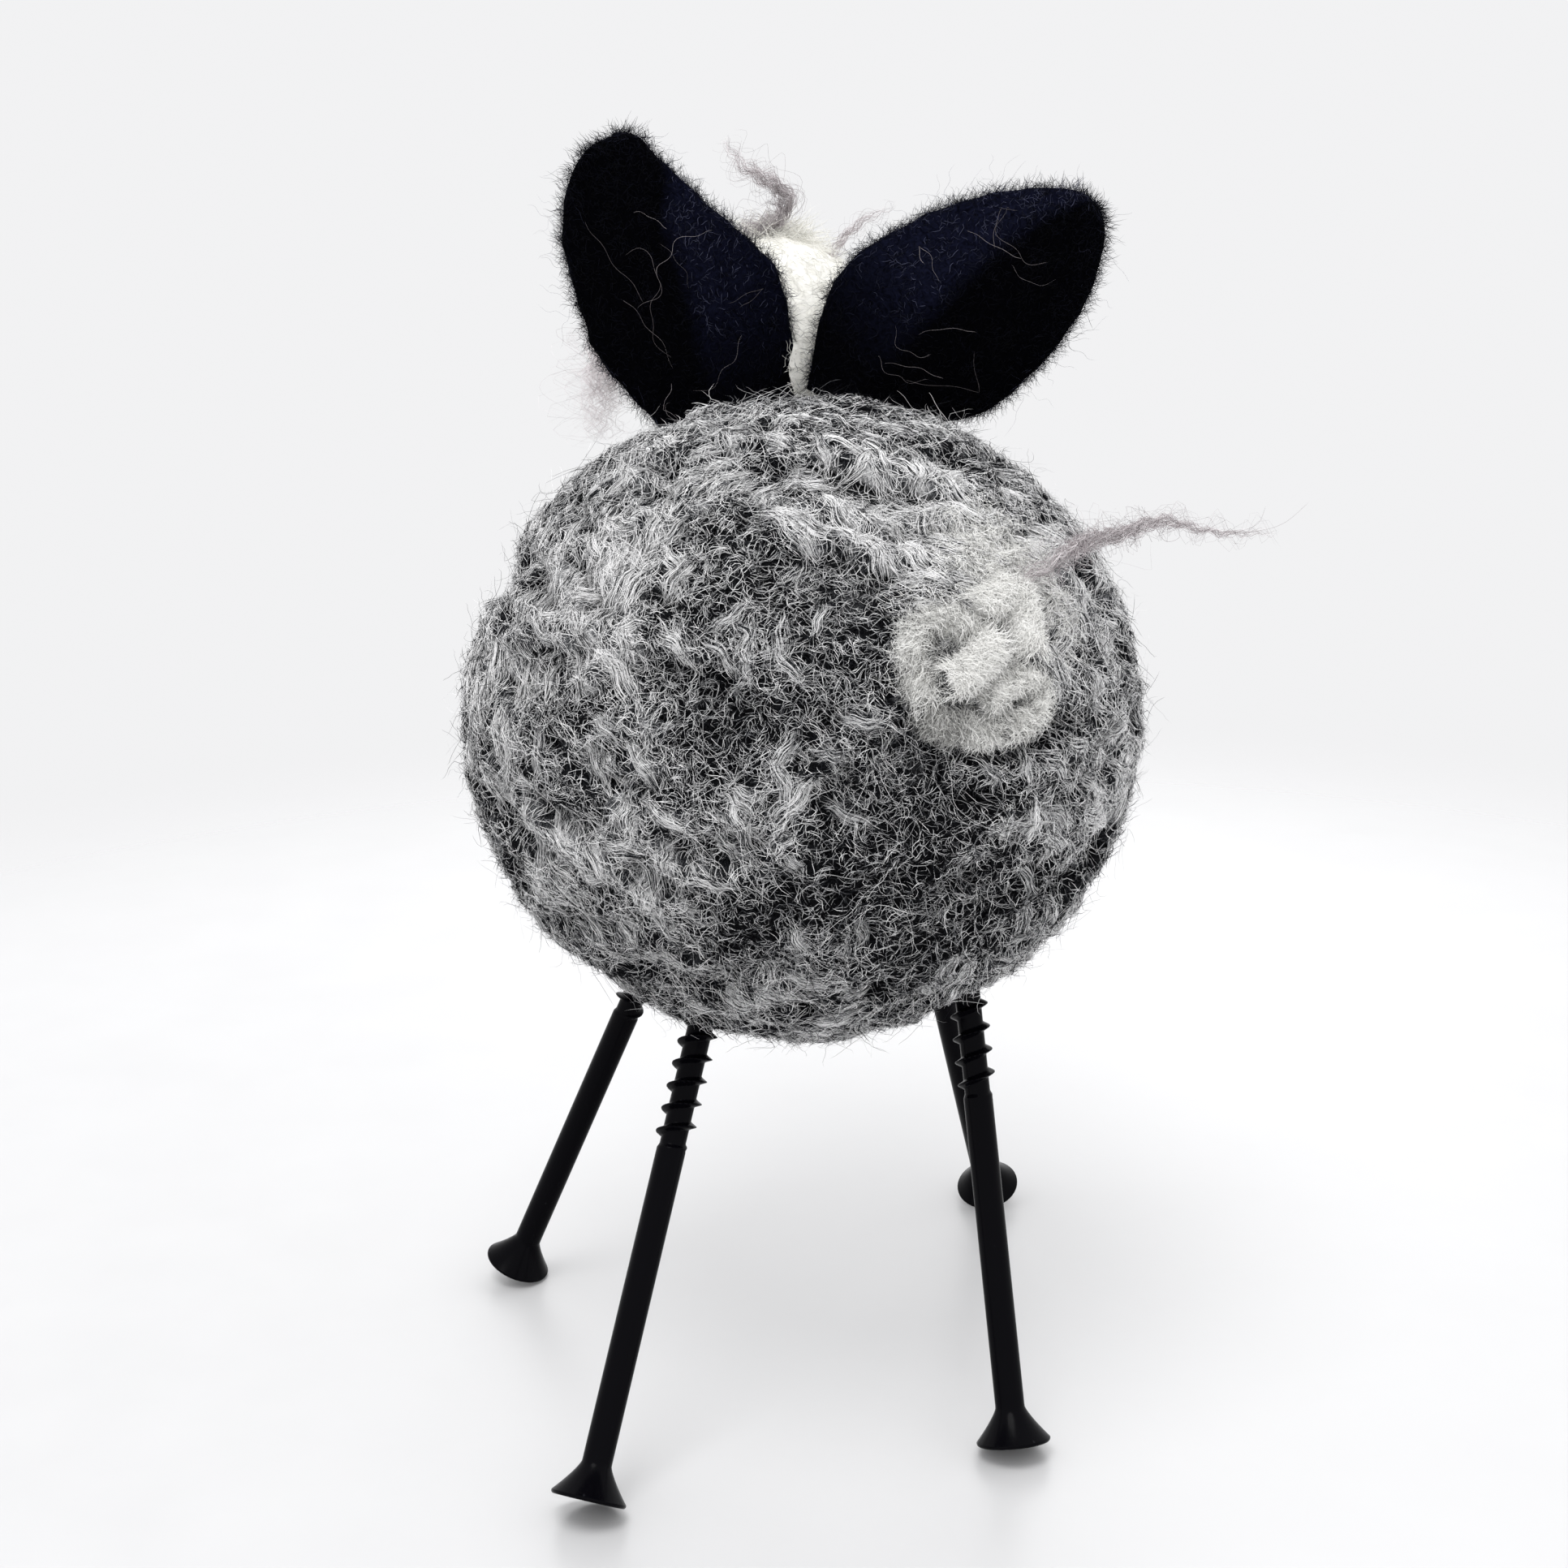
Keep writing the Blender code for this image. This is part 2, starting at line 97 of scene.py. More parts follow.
# Strands laid last, by azimuth and elevation on the ball (degrees); they are paler than the rest
PALE_RUNS = (
    ((-49, 67), (-25, 68), (-12, 69), (12, 65), (22, 59), (33, 58), (41, 55), (57, 52)),
    ((-11, 46), (-3, 50), (6, 51), (14, 48), (24, 49), (32, 48), (43, 46), (51, 42)),
    ((9, 44), (12, 41), (23, 40), (27, 38), (35, 38)),
    ((-50, 43), (-42, 48), (-33, 49), (-27, 53)),
    ((-76, 40), (-62, 37), (-52, 32), (-50, 25)),
    ((-42, 19), (-36, 25), (-35, 30), (-41, 36), (-50, 40)),
    ((-69, 28), (-55, 26), (-46, 24)),
    ((-33, 39), (-27, 40), (-20, 40)),
    ((-45, 7), (-36, 11), (-30, 13), (-26, 9)),
    ((-72, 18), (-65, 12), (-60, 4), (-57, -2), (-52, -8), (-44, -11), (-36, -14), (-29, -19), (-22, -21)),
    ((17, -10), (24, -10), (28, -8), (33, -4), (37, -9), (43, -13), (49, -12), (56, -10)),
    ((19, -37), (34, -40), (46, -39)),
    ((-24, -46), (-12, -41), (-2, -35), (7, -36)),
    ((46, 29), (53, 27), (57, 20), (58, 12)),
    ((58, 34), (61, 22), (62, 11), (62, 0), (65, -12), (70, -25)),
    ((-36, 0), (-30, -5), (-25, -11), (-20, -13), (-12, -12), (-7, -7), (-9, -2), (-16, -2), (-24, -4)),
    ((-16, -2), (-9, 4), (-4, 5), (1, 9), (5, 13), (9, 15), (14, 17)),
)
RUN_PALENESS = 0.36

# The tail: a rosette of cream yarn on the ball, by offsets (right, up) in mm from its middle, and its wisp
TAIL_PLACE = np.array((0.0125, -0.0413, 0.0908))
TAIL_STRANDS = {
    # name: lift, radius (mm), range of shades, places
    "tail_back": (-0.3, 1.2, (0.62, 0.9),
                  ((-6.2, -3.4), (-4.6, -5.0), (-2.4, -5.2), (-0.6, -6.2), (1.4, -6.2))),
    "tail_ring": (0.2, 1.2, (0.75, 1.0),
                  ((-6.2, -2.4), (-7.0, 0.6), (-6.9, 3.2), (-6.0, 5.4), (-4.1, 6.4), (-1.8, 6.2),
                                          (0.2, 5.0), (1.2, 3.8))),
    "tail_knot": (0.5, 1.7, (0.95, 1.0),
                  ((1.6, 6.9), (3.8, 7.6), (6.2, 8.6), (7.6, 7.8), (7.2, 5.6), (6.9, 3.4),
                                          (7.0, 1.2))),
    "tail_fold": (0.5, 1.2, (0.75, 1.0),
                  ((-0.3, -3.4), (1.3, -2.6), (3.0, -1.8), (5.0, -1.3), (6.8, -2.2), (7.2, -3.8),
                                          (6.2, -5.2), (3.9, -6.0), (2.2, -6.3))),
    "tail_heart": (1.5, 1.6, (1.0, 1.0), ((-3.9, -0.3), (-2.4, 0.0), (-0.6, 0.9), (0.8, 2.0), (1.9, 2.7))),
}
# The pale fluff round it: right, up (mm), how far it spreads on the unit sphere, number of fibres
TAIL_FLUFF = ((0.0, 1.8, 0.10, 1100), (7.5, 13.5, 0.085, 2300), (13.0, 6.0, 0.06, 600))
WISP = (
    (0.0165, -0.0345, 0.0985), (0.0212, -0.0343, 0.1005), (0.0232, -0.0330, 0.1015),
    (0.0259, -0.0290, 0.1020),
    (0.0301, -0.0255, 0.1020), (0.0347, -0.0235, 0.1029), (0.0381, -0.0228, 0.1021),
    (0.0415, -0.0226, 0.1013),
    (0.0440, -0.0226, 0.1012),
)
WISP_HAIRS = (
    ((0.0400, -0.0226, 0.1016), (0.0430, -0.0226, 0.1013), (0.0455, -0.0226, 0.1021),
     (0.0464, -0.0226, 0.1041)),
    ((0.0405, -0.0226, 0.1013), (0.0453, -0.0226, 0.1013), (0.0484, -0.0226, 0.1021),
     (0.0511, -0.0226, 0.1043)),
    ((0.0340, -0.0236, 0.1026), (0.0352, -0.0240, 0.1008), (0.0368, -0.0238, 0.1012),
     (0.0362, -0.0234, 0.1028)),
)

# Tufts of roving on the head
CURLS = {
    # name: radius, number of fibres, their mean shade, how blunt its end is, path
    "curl_top": (1.0 * MM, 140, 0.58, 0.8,
                 ((-0.0074, 0.0308, 0.1282), (-0.0067, 0.0300, 0.1310), (-0.0052, 0.0300, 0.1321),
                                            (-0.0030, 0.0300, 0.1327), (-0.0015, 0.0300, 0.1344),
                                            (-0.0023, 0.0300, 0.1364), (-0.0045, 0.0300, 0.1379),
                                            (-0.0066, 0.0300, 0.1394), (-0.0078, 0.0300, 0.1410))),
    "curl_right": (0.6 * MM, 45, 0.7, 0.6,
                   ((0.0026, 0.0312, 0.1258), (0.0038, 0.0312, 0.1277), (0.0056, 0.0312, 0.1305),
                                            (0.0080, 0.0312, 0.1324), (0.0109, 0.0312, 0.1335))),
    "curl_left": (1.8 * MM, 330, 1.0, 1.2, ((-0.0110, 0.0334, 0.1270), (-0.0185, 0.0325, 0.1240),
                                             (-0.0232, 0.0318, 0.1192), (-0.0249, 0.0314, 0.1152),
                                             (-0.0256, 0.0312, 0.1112), (-0.0255, 0.0312, 0.1090))),
}

# The head, as an egg that leans forward
HEAD_CENTRE = np.array((-0.0033, 0.0326, 0.1146))
HEAD_HALVES = np.array((13.0, 18.0, 16.0)) * MM
HEAD_PITCH = math.radians(25)
MUZZLE_TAPER = 0.32

# The ears. Each one's base, the way to its tip, its size, the outline of its cut, how far its upper part
# leans, how far its base drops into the wool (at its middle, and more to one side), where its fold starts and
# how far it runs across, the side of the fold that faces up and is painted navy as painted light, and how far
# that painted light is taken off near the tip, which stays black as painted shade
EAR_FOLD_DEPTH = 5.4 * MM
EAR_THICKNESS = 1.4 * MM
EARS = {
    "ear_left": {
        "base": (-0.0077, 0.0114, 0.1111), "reach": (-0.0172, -0.0060, 0.0355), "length": 36.3 * MM,
        "half_width": 11.7 * MM, "base_share": 0.54, "widest": 0.43, "power": 0.83, "bluntness": 0.41,
        "lean": -2.0 * MM, "drop": (3.2 * MM, 1.8 * MM), "slide": -1.9 * MM, "fold": -3.8 * MM,
        "run": 9.8 * MM, "lit_side": 1,
        "shaded_tip": 0.35,
    },
    "ear_right": {
        "base": (0.0053, 0.0114, 0.1137), "reach": (0.0234, -0.0060, 0.0183), "length": 35.1 * MM,
        "half_width": 12.2 * MM, "base_share": 0.33, "widest": 0.30, "power": 1.8, "bluntness": 0.59,
        "lean": 0.5 * MM, "drop": (2.8 * MM, -2.2 * MM), "slide": 0.4 * MM, "fold": 0.5 * MM,
        "run": -6.5 * MM, "lit_side": -1,
        "shaded_tip": 0.0,
    },
}

# The screws
SCREW_LENGTH = 89.0 * MM
HEAD_RADIUS = 4.15 * MM
RIM_HEIGHT = 0.4 * MM
CONE_HEIGHT = 3.6 * MM
SHANK_RADIUS = 1.65 * MM
SHANK_END = 38.7 * MM
ROOT_RADIUS = 1.45 * MM
THREAD_RADIUS = 2.2 * MM
THREAD_PITCH = 2.6 * MM
TIP_LENGTH = 7.0 * MM
SCREW_SIDES = 44


# ---------------------------------------------------------------- small helpers

def unit(vectors):
    """The vectors at length 1, along the last axis."""
    return vectors / np.maximum(np.linalg.norm(vectors, axis=-1, keepdims=True), 1e-12)


def on_sphere(azimuth, elevation):
    """The direction at an azimuth from -Y towards +X and an elevation, both in degrees."""
    a, e = np.radians(azimuth), np.radians(elevation)
    return np.stack((np.sin(a) * np.cos(e), -np.cos(a) * np.cos(e), np.sin(e)), axis=-1)


def to_world(points):
    """From the round ball's own frame to the place and the flattened shape of the real one."""
    return points * FLATTEN + BALL_CENTRE


def smooth_path(points, count):
    """Evenly spread points along a smooth curve through the given ones."""
    points = np.array(points, float)
    ends = np.concatenate((2 * points[:1] - points[1:2], points, 2 * points[-1:] - points[-2:-1]))
    fine = []
    for i in range(len(points) - 1):
        a, b, c, d = ends[i:i + 4]
        t = np.linspace(0, 1, 24, endpoint=False)[:, None]
        fine.append(0.5 * (2 * b + (c - a) * t + (2 * a - 5 * b + 4 * c - d) * t ** 2
                           + (3 * b - a - 3 * c + d) * t ** 3))
    fine = np.concatenate(fine + [points[-1:]])
    way = np.concatenate(([0], np.cumsum(np.linalg.norm(np.diff(fine, axis=0), axis=1))))
    even = np.linspace(0, way[-1], count)
    return np.stack([np.interp(even, way, fine[:, axis]) for axis in range(3)], axis=1)


def blurred(values, width):
    """A running mean along a strand, with the ends held."""
    padded = np.pad(values, width, mode="edge")
    return np.convolve(padded, np.full(2 * width + 1, 1 / (2 * width + 1)), mode="valid")


def uneven(length, count, step, low, high, power=1.0):
    """A smooth random curve between low and high, with a new value every `step` metres."""
    knots = low + (high - low) * RNG.random(max(3, int(length / step) + 2)) ** power
    places = np.linspace(0, len(knots) - 1.001, count)
    index = places.astype(int)
    share = places - index
    share = share * share * (3 - 2 * share)
    return knots[index] * (1 - share) + knots[index + 1] * share


# ---------------------------------------------------------------- materials

def new_material(name, roughness, specular=0.3, sheen=0.0, coat=0.0, colour=(0.5, 0.5, 0.5)):
    material = bpy.data.materials.new(name)
    material.use_nodes = True
    shader = material.node_tree.nodes["Principled BSDF"]
    shader.inputs["Base Color"].default_value = (*colour, 1)
    shader.inputs["Roughness"].default_value = roughness
    shader.inputs["Specular IOR Level"].default_value = specular
    shader.inputs["Sheen Weight"].default_value = sheen
    shader.inputs["Coat Weight"].default_value = coat
    return material, material.node_tree, shader


def add_node(tree, kind, **settings):
    node = tree.nodes.new(kind)
    for name, value in settings.items():
        setattr(node, name, value)
    return node


def attribute_output(tree, name, output="Fac"):
    return add_node(tree, "ShaderNodeAttribute", attribute_name=name).outputs[output]


def ramp(tree, source, stops):
    """A colour ramp on a value, from (place, colour) stops."""
    node = add_node(tree, "ShaderNodeValToRGB")
    elements = node.color_ramp.elements
    while len(elements) < len(stops):
        elements.new(0.5)
    for element, (place, colour) in zip(elements, stops):
        element.position = place
        element.color = (*colour, 1)
    tree.links.new(source, node.inputs["Fac"])
    return node.outputs["Color"]


def noise_value(tree, scale, detail=3.0, vector=None, distortion=0.0):
    node = add_node(tree, "ShaderNodeTexNoise")
    node.inputs["Scale"].default_value = scale
    node.inputs["Detail"].default_value = detail
    node.inputs["Distortion"].default_value = distortion
    tree.links.new(vector or add_node(tree, "ShaderNodeTexCoord").outputs["Object"], node.inputs["Vector"])
    return node.outputs["Fac"]


def combine(tree, operation, first, second):
    """A Math node on two sockets or numbers."""
    node = add_node(tree, "ShaderNodeMath", operation=operation)
    for socket, value in zip(node.inputs, (first, second)):
        if isinstance(value, (int, float)):
            socket.default_value = value
        else:
            tree.links.new(value, socket)
    return node.outputs[0]


def mixed(tree, share, first, second):
    """A colour between two, by a share that is a socket."""
    node = add_node(tree, "ShaderNodeMix", data_type="RGBA")
    tree.links.new(share, node.inputs["Factor"])
    for socket, value in zip((node.inputs[6], node.inputs[7]), (first, second)):
        if isinstance(value, tuple):
            socket.default_value = (*value, 1)
        else:
            tree.links.new(value, socket)
    return node.outputs[2]


def add_bump(tree, shader, height, distance, strength=1.0):
    bump = add_node(tree, "ShaderNodeBump")
    bump.inputs["Distance"].default_value = distance
    bump.inputs["Strength"].default_value = strength
    tree.links.new(height, bump.inputs["Height"])
    tree.links.new(bump.outputs["Normal"], shader.inputs["Normal"])


GREY_STOPS = ((0.0, (0.001, 0.001, 0.002)), (0.3, (0.020, 0.022, 0.026)), (0.6, (0.20, 0.205, 0.215)),
              (1.0, (0.97, 0.965, 0.965)))
CREAM_STOPS = ((0.0, (0.03, 0.03, 0.029)), (0.35, (0.34, 0.337, 0.32)), (0.9, (0.985, 0.98, 0.955)))
ROVING_STOPS = ((0.0, (0.16, 0.14, 0.145)), (0.5, (0.46, 0.42, 0.43)), (1.0, (0.88, 0.83, 0.84)))
FELT_STOPS = ((0.0, (0.0002, 0.0002, 0.0004)), (0.5, (0.005, 0.006, 0.015)), (1.0, (0.075, 0.08, 0.13)))
CREAM_FELT_STOPS = ((0.0, (0.74, 0.73, 0.68)), (1.0, (0.93, 0.92, 0.87)))


def fibre_material(name, stops, sheen=0.02, specular=0.04):
    """For loose fibres: each has its own shade, which varies a little along it."""
    material, tree, shader = new_material(name, 0.8, specular=specular, sheen=sheen)
    grain = noise_value(tree, 900.0, 1.0)
    value = combine(tree, "ADD", attribute_output(tree, "shade"), combine(tree, "MULTIPLY", grain, 0.16))
    value = combine(tree, "SUBTRACT", value, 0.08)
    tree.links.new(ramp(tree, value, stops), shader.inputs["Base Color"])
    return material


def yarn_material(name, stops, sheen=0.02):
    """For spun strands: fine fibres run across the twist, in colour and in relief. The strands come out
    darker than loose fibres of the same shade: painted shade under the fuzz.
    """
    material, tree, shader = new_material(name, 0.9, specular=0.03, sheen=sheen)
    lie = attribute_output(tree, "lie", "Vector")
    fine = noise_value(tree, 1.0, 2.5, vector=lie, distortion=0.6)
    value = combine(tree, "ADD", attribute_output(tree, "shade"), combine(tree, "MULTIPLY", fine, 0.8))
    from_curl = combine(tree, "ABSOLUTE",
                        combine(tree, "SUBTRACT", noise_value(tree, 1500.0, 2.0, distortion=1.8), 0.5), 0)
    curls = combine(tree, "MAXIMUM",
                    combine(tree, "SUBTRACT", 1.0, combine(tree, "MULTIPLY", from_curl, 14.0)), 0.0)
    value = combine(tree, "ADD", value, combine(tree, "MULTIPLY", curls, 0.32))
    # Taken down so that strands come out darker than their loose fibres: painted shade under the fuzz
    value = combine(tree, "SUBTRACT", value, 0.56)
    tree.links.new(ramp(tree, value, stops), shader.inputs["Base Color"])
    add_bump(tree, shader, combine(tree, "ADD", fine, combine(tree, "MULTIPLY", curls, 0.5)), 0.25 * MM)
    return material


def felt_material(name, stops, scale, relief, lighter=None):
    """For felt: matted fibres with no direction. Where "shade" is 1 it turns to the lighter stops, if it has
    them."""
    material, tree, shader = new_material(name, 0.95, specular=0.02, sheen=0.0)
    matted = noise_value(tree, scale, 4.0, distortion=2.5)
    colour = ramp(tree, matted, ((0.25, stops[0]), (0.75, stops[1])))
    if lighter:
        pale = ramp(tree, matted, ((0.25, lighter[0]), (0.75, lighter[1])))
        colour = mixed(tree, attribute_output(tree, "shade"), colour, pale)
    tree.links.new(colour, shader.inputs["Base Color"])
    add_bump(tree, shader, matted, relief)
    return material


def screw_material():
    """Black phosphate: nearly black, semi-gloss, with a fine grain and a few worn specks."""
    material, tree, shader = new_material("black_phosphate", 0.3, specular=0.05, coat=0.05)
    shader.inputs["IOR"].default_value = 1.35
    shader.inputs["Coat Roughness"].default_value = 0.12
    shader.inputs["Coat IOR"].default_value = 1.3
    grain = noise_value(tree, 2600.0, 3.0)
    worn = ramp(tree, noise_value(tree, 700.0, 6.0), ((0.72, (0, 0, 0)), (0.80, (1, 1, 1))))
    tree.links.new(mixed(tree, worn, (0.0014, 0.0013, 0.0022), (0.02, 0.02, 0.025)),
                   shader.inputs["Base Color"])
    rough = combine(tree, "ADD", combine(tree, "MULTIPLY", grain, 0.16), 0.16)
    tree.links.new(rough, shader.inputs["Roughness"])
    add_bump(tree, shader, grain, 0.012 * MM)
    return material


def floor_material():
    material, tree, shader = new_material("white_table", 0.35, specular=0.35, colour=(0.86, 0.855, 0.86))
    grain = noise_value(tree, 60.0, 3.0)
    tree.links.new(ramp(tree, grain, ((0.3, (0.548, 0.548, 0.552)), (0.7, (0.564, 0.564, 0.568)))),
                   shader.inputs["Base Color"])
    rough = combine(tree, "ADD", combine(tree, "MULTIPLY", grain, 0.1), 0.32)
    tree.links.new(rough, shader.inputs["Roughness"])
    distance = add_node(tree, "ShaderNodeVectorMath", operation="LENGTH")
    tree.links.new(add_node(tree, "ShaderNodeTexCoord").outputs["Object"], distance.inputs[0])
    fade = add_node(tree, "ShaderNodeMapRange", interpolation_type="SMOOTHSTEP")
    fade.inputs["From Min"].default_value = 0.17
    fade.inputs["From Max"].default_value = 0.31
    tree.links.new(distance.outputs["Value"], fade.inputs["Value"])
    blend = add_node(tree, "ShaderNodeMixShader")
    tree.links.new(fade.outputs["Result"], blend.inputs["Fac"])
    tree.links.new(shader.outputs["BSDF"], blend.inputs[1])
    tree.links.new(add_node(tree, "ShaderNodeBsdfTransparent").outputs["BSDF"], blend.inputs[2])
    tree.links.new(blend.outputs["Shader"], tree.nodes["Material Output"].inputs["Surface"])
    return material


GREY_FIBRE = fibre_material("grey_wool_fibre", GREY_STOPS)
GREY_YARN = yarn_material("grey_tweed_yarn", GREY_STOPS)
CREAM_FIBRE = fibre_material("cream_wool_fibre", CREAM_STOPS, sheen=0.3)
CREAM_YARN = yarn_material("cream_yarn", CREAM_STOPS, sheen=0.3)
ROVING_FIBRE = fibre_material("roving_fibre", ROVING_STOPS)
BLACK_FIBRE = fibre_material("black_felt_fibre", FELT_STOPS, sheen=0.0, specular=0.10)
# Black felt; its lighter navy pair, used where the leaf's shade attribute is 1, is painted light on the side
# of an ear's fold that faces up
BLACK_FELT = felt_material("black_felt", ((0.0001, 0.0001, 0.0002), (0.0009, 0.0009, 0.002)), 900.0,
                           0.25 * MM,
                           ((0.0005, 0.0006, 0.002), (0.006, 0.007, 0.018)))
CREAM_FELT = felt_material("cream_felt", ((0.74, 0.73, 0.68), (0.92, 0.91, 0.87)), 700.0, 0.10 * MM)
CREAM_FELT_FIBRE = fibre_material("cream_felt_fibre", CREAM_FELT_STOPS)


# ---------------------------------------------------------------- meshes from arrays

def make_object(name, points, loops, starts, material, body, shade=None, lie=None):
    """A piece from arrays: its points, the corners of its faces one after another, and where each face
    starts."""
    mesh = bpy.data.meshes.new(name)
    mesh.vertices.add(len(points))
    mesh.vertices.foreach_set("co", points.astype(np.float32).ravel())
    mesh.loops.add(len(loops))
    mesh.loops.foreach_set("vertex_index", loops.astype(np.int32))
    mesh.polygons.add(len(starts))
    mesh.polygons.foreach_set("loop_start", starts.astype(np.int32))
    mesh.update(calc_edges=True)
    mesh.shade_smooth()
    if shade is not None:
        mesh.attributes.new("shade", "FLOAT", "POINT").data.foreach_set("value", shade.astype(np.float32))
    if lie is not None:
        mesh.attributes.new("lie", "FLOAT_VECTOR",
                            "POINT").data.foreach_set("vector", lie.astype(np.float32).ravel())
    mesh.materials.append(material)
    piece = bpy.data.objects.new(name, mesh)
    bpy.context.scene.collection.objects.link(piece)
    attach(piece, body)
    return piece


def tube_faces(points_a_tube, sides):
    """The corners and the starts of one closed tube's faces: a fan, bands of quads, and a fan."""
    faces = [(0, 1 + j, 1 + (j + 1) % sides) for j in range(sides)]
    rings = points_a_tube - 2
    for ring in range(rings - 1):
        low, high = 1 + ring * sides, 1 + (ring + 1) * sides
        for j in range(sides):
            k = (j + 1) % sides
            faces.append((low + j, high + j, high + k, low + k))
    last, low = 1 + rings * sides, 1 + (rings - 1) * sides
    faces += [(last, low + (j + 1) % sides, low + j) for j in range(sides)]
    corners = np.array([corner for face in faces for corner in face])
    starts = np.cumsum([0] + [len(face) for face in faces[:-1]])
    return corners, starts, last + 1


def tubes(paths, radii, up, sides):
    """Closed tubes along paths (tubes, points, 3): rings round the inner points and a tip at each end.
    radii is (tubes, points) or (tubes, points, sides), and up (tubes, points, 3) or (tubes, 1, 3)."""
    count, steps, _ = paths.shape
    tangent = unit(np.gradient(paths, axis=1))
    side = unit(np.cross(tangent, np.broadcast_to(up, paths.shape)))
    rise = np.cross(side, tangent)
    angles = np.arange(sides) * 2 * math.pi / sides
    radii = radii if radii.ndim == 3 else np.repeat(radii[:, :, None], sides, axis=2)
    round_about = (np.cos(angles)[None, None, :, None] * side[:, 1:-1, None]
                   + np.sin(angles)[None, None, :, None] * rise[:, 1:-1, None])
    rings = paths[:, 1:-1, None] + radii[:, 1:-1, :, None] * round_about
    points = np.concatenate((paths[:, :1], rings.reshape(count, -1, 3), paths[:, -1:]), axis=1)
    corners, starts, size = tube_faces(steps, sides)
    loops = (corners[None] + (np.arange(count) * size)[:, None]).ravel()
    all_starts = (starts[None] + (np.arange(count) * len(corners))[:, None]).ravel()
    return points.reshape(-1, 3), loops, all_starts


def on_rings(values, sides):
    """Values at the points of tubes (tubes, points), spread to the vertices that tubes() makes."""
    rings = np.repeat(values[:, 1:-1], sides, axis=1)
    return np.concatenate((values[:, :1], rings, values[:, -1:]), axis=1).ravel()


def add_fibres(name, paths, radius, shade, up, material, body, sides=3):
    """Loose fibres as thin closed tubes, in as many pieces as the triangle limit asks for."""
    count, steps, _ = paths.shape
    triangles = 2 * sides + 2 * sides * (steps - 3)
    most = MOST_TRIANGLES // triangles
    pieces = []
    thin = np.interp(np.linspace(0, 1, steps), (0, 0.15, 0.6, 1), (0.9, 1, 0.85, 0.5))
    for number, first in enumerate(range(0, count, most)):
        part = slice(first, first + most)
        radii = np.broadcast_to(radius, (count,))[part, None] * thin[None]
        points, loops, starts = tubes(paths[part], radii, up[part], sides)
        shades = np.repeat(np.broadcast_to(shade, (count,))[part, None], steps, axis=1)
        label = name if count <= most else f"{name}_{number + 1}"
        pieces.append(make_object(label, points, loops, starts, material, body,
                                  on_rings(shades, sides)))
    return pieces


# ---------------------------------------------------------------- the wound ball

class Winding:
    """The ball as it grows: the yarn's height at points spread evenly over it, and the strands laid so
    far."""

    def __init__(self, count=30000):
        index = np.arange(count) + 0.5
        z = 1 - 2 * index / count
        angle = index * math.pi * (3 - math.sqrt(5))
        around = np.sqrt(1 - z * z)
        self.spots = np.stack((around * np.cos(angle), around * np.sin(angle), z), axis=1)
        self.height = np.full(count, BASE_RADIUS)
        self.tree = KDTree(count)
        for i, spot in enumerate(self.spots):
            self.tree.insert(spot, i)
        self.tree.balance()
        self.strands = []

    def lay(self, directions, radii, bury):
        """Lays one stretch of a strand on what is there, and returns the middle's distance from the
        centre."""
        reach = YARN_RADIUS / BALL_RADIUS
        near = [self.tree.find_range(Vector(d), reach * 1.2) for d in directions]
        ground = np.array([max(self.height[i] for _, i, _ in found) for found in near])
        ground = blurred(np.array([ground[max(0, i - 2):i + 3].max() for i in range(len(ground))]), 5)
        middle = ground + 0.30 * radii - bury
        for found, centre, radius in zip(near, middle, radii):
            for _, i, gap in found:
                off = gap * centre
                if off < radius:
                    self.height[i] = max(self.height[i], centre + math.sqrt(radius * radius - off * off))
        return middle

    def level(self, directions):
        """The mean height of the ball's surface round each direction."""
        spots, height = self.spots[::8], self.height[::8]
        weight = np.exp((directions @ spots.T - 1) / EVENING ** 2)
        return weight @ height / weight.sum(axis=1)

    def lowest(self, tries, make):
        """The strand, among some made at random, that passes over the lowest ground."""
        strands = [make() for _ in range(tries)]
        means = [self.level(strand[::12]).mean() for strand in strands]
        return strands[int(np.argmin(means))]

    def add(self, directions, paleness=0.0):
        """Lays a whole strand, turn by turn, with its ends buried."""
        count = len(directions)
        length = count * 2 * math.pi * BALL_RADIUS / SAMPLES_A_TURN
        radii = YARN_RADIUS * uneven(length, count, 7 * MM, 0.84, 1.2)
        ends = np.minimum(np.arange(count), np.arange(count)[::-1])
        bury = 2.6 * MM * np.clip(1 - ends / 9, 0, 1)
        middle = np.concatenate([self.lay(directions[i:i + SAMPLES_A_TURN], radii[i:i + SAMPLES_A_TURN],
                                          bury[i:i + SAMPLES_A_TURN])
                                 for i in range(0, count, SAMPLES_A_TURN)])
        self.strands.append((directions, blurred(middle, 3), radii, length, paleness))


def wobble(turns, count, strength):
    """A slow wave that a strand's turns share, and a smaller one of its own, in radians."""
    angle = np.linspace(0, 2 * math.pi * turns, count)
    wave = np.zeros(count)
    for k, size in ((1, 0.07), (2, 0.05), (3, 0.035), (5, 0.018)):
        wave += size * RNG.normal() * np.sin(k * angle + RNG.random() * 6.28)
    for k, size in ((1.37, 0.012), (4.3, 0.012), (9.1, 0.010), (14.7, 0.006)):
        wave += size * np.sin(k * angle + RNG.random() * 6.28)
    return wave * strength


def spiral(tilt, toward, start, turns, strength=1.0):
    """Directions along a strand wound round an axis that leans `tilt` degrees from Z towards an azimuth.
    It starts `start` degrees above that axis's equator, and each turn lies one strand lower."""
    axis = on_sphere(toward, 90 - tilt)
    across = unit(np.cross(axis, (0.3, 0.9, 0.2)))
    third = np.cross(axis, across)
    count = int(turns * SAMPLES_A_TURN)
    angle = np.linspace(0, 2 * math.pi * turns, count) + RNG.random() * 6.28
    pitch = 2.75 * MM / BALL_RADIUS
    latitude = math.radians(start) - pitch * np.linspace(0, turns, count) + wobble(turns, count, strength)
    flat = np.cos(angle)[:, None] * across + np.sin(angle)[:, None] * third
    return np.cos(latitude)[:, None] * flat + np.sin(latitude)[:, None] * axis


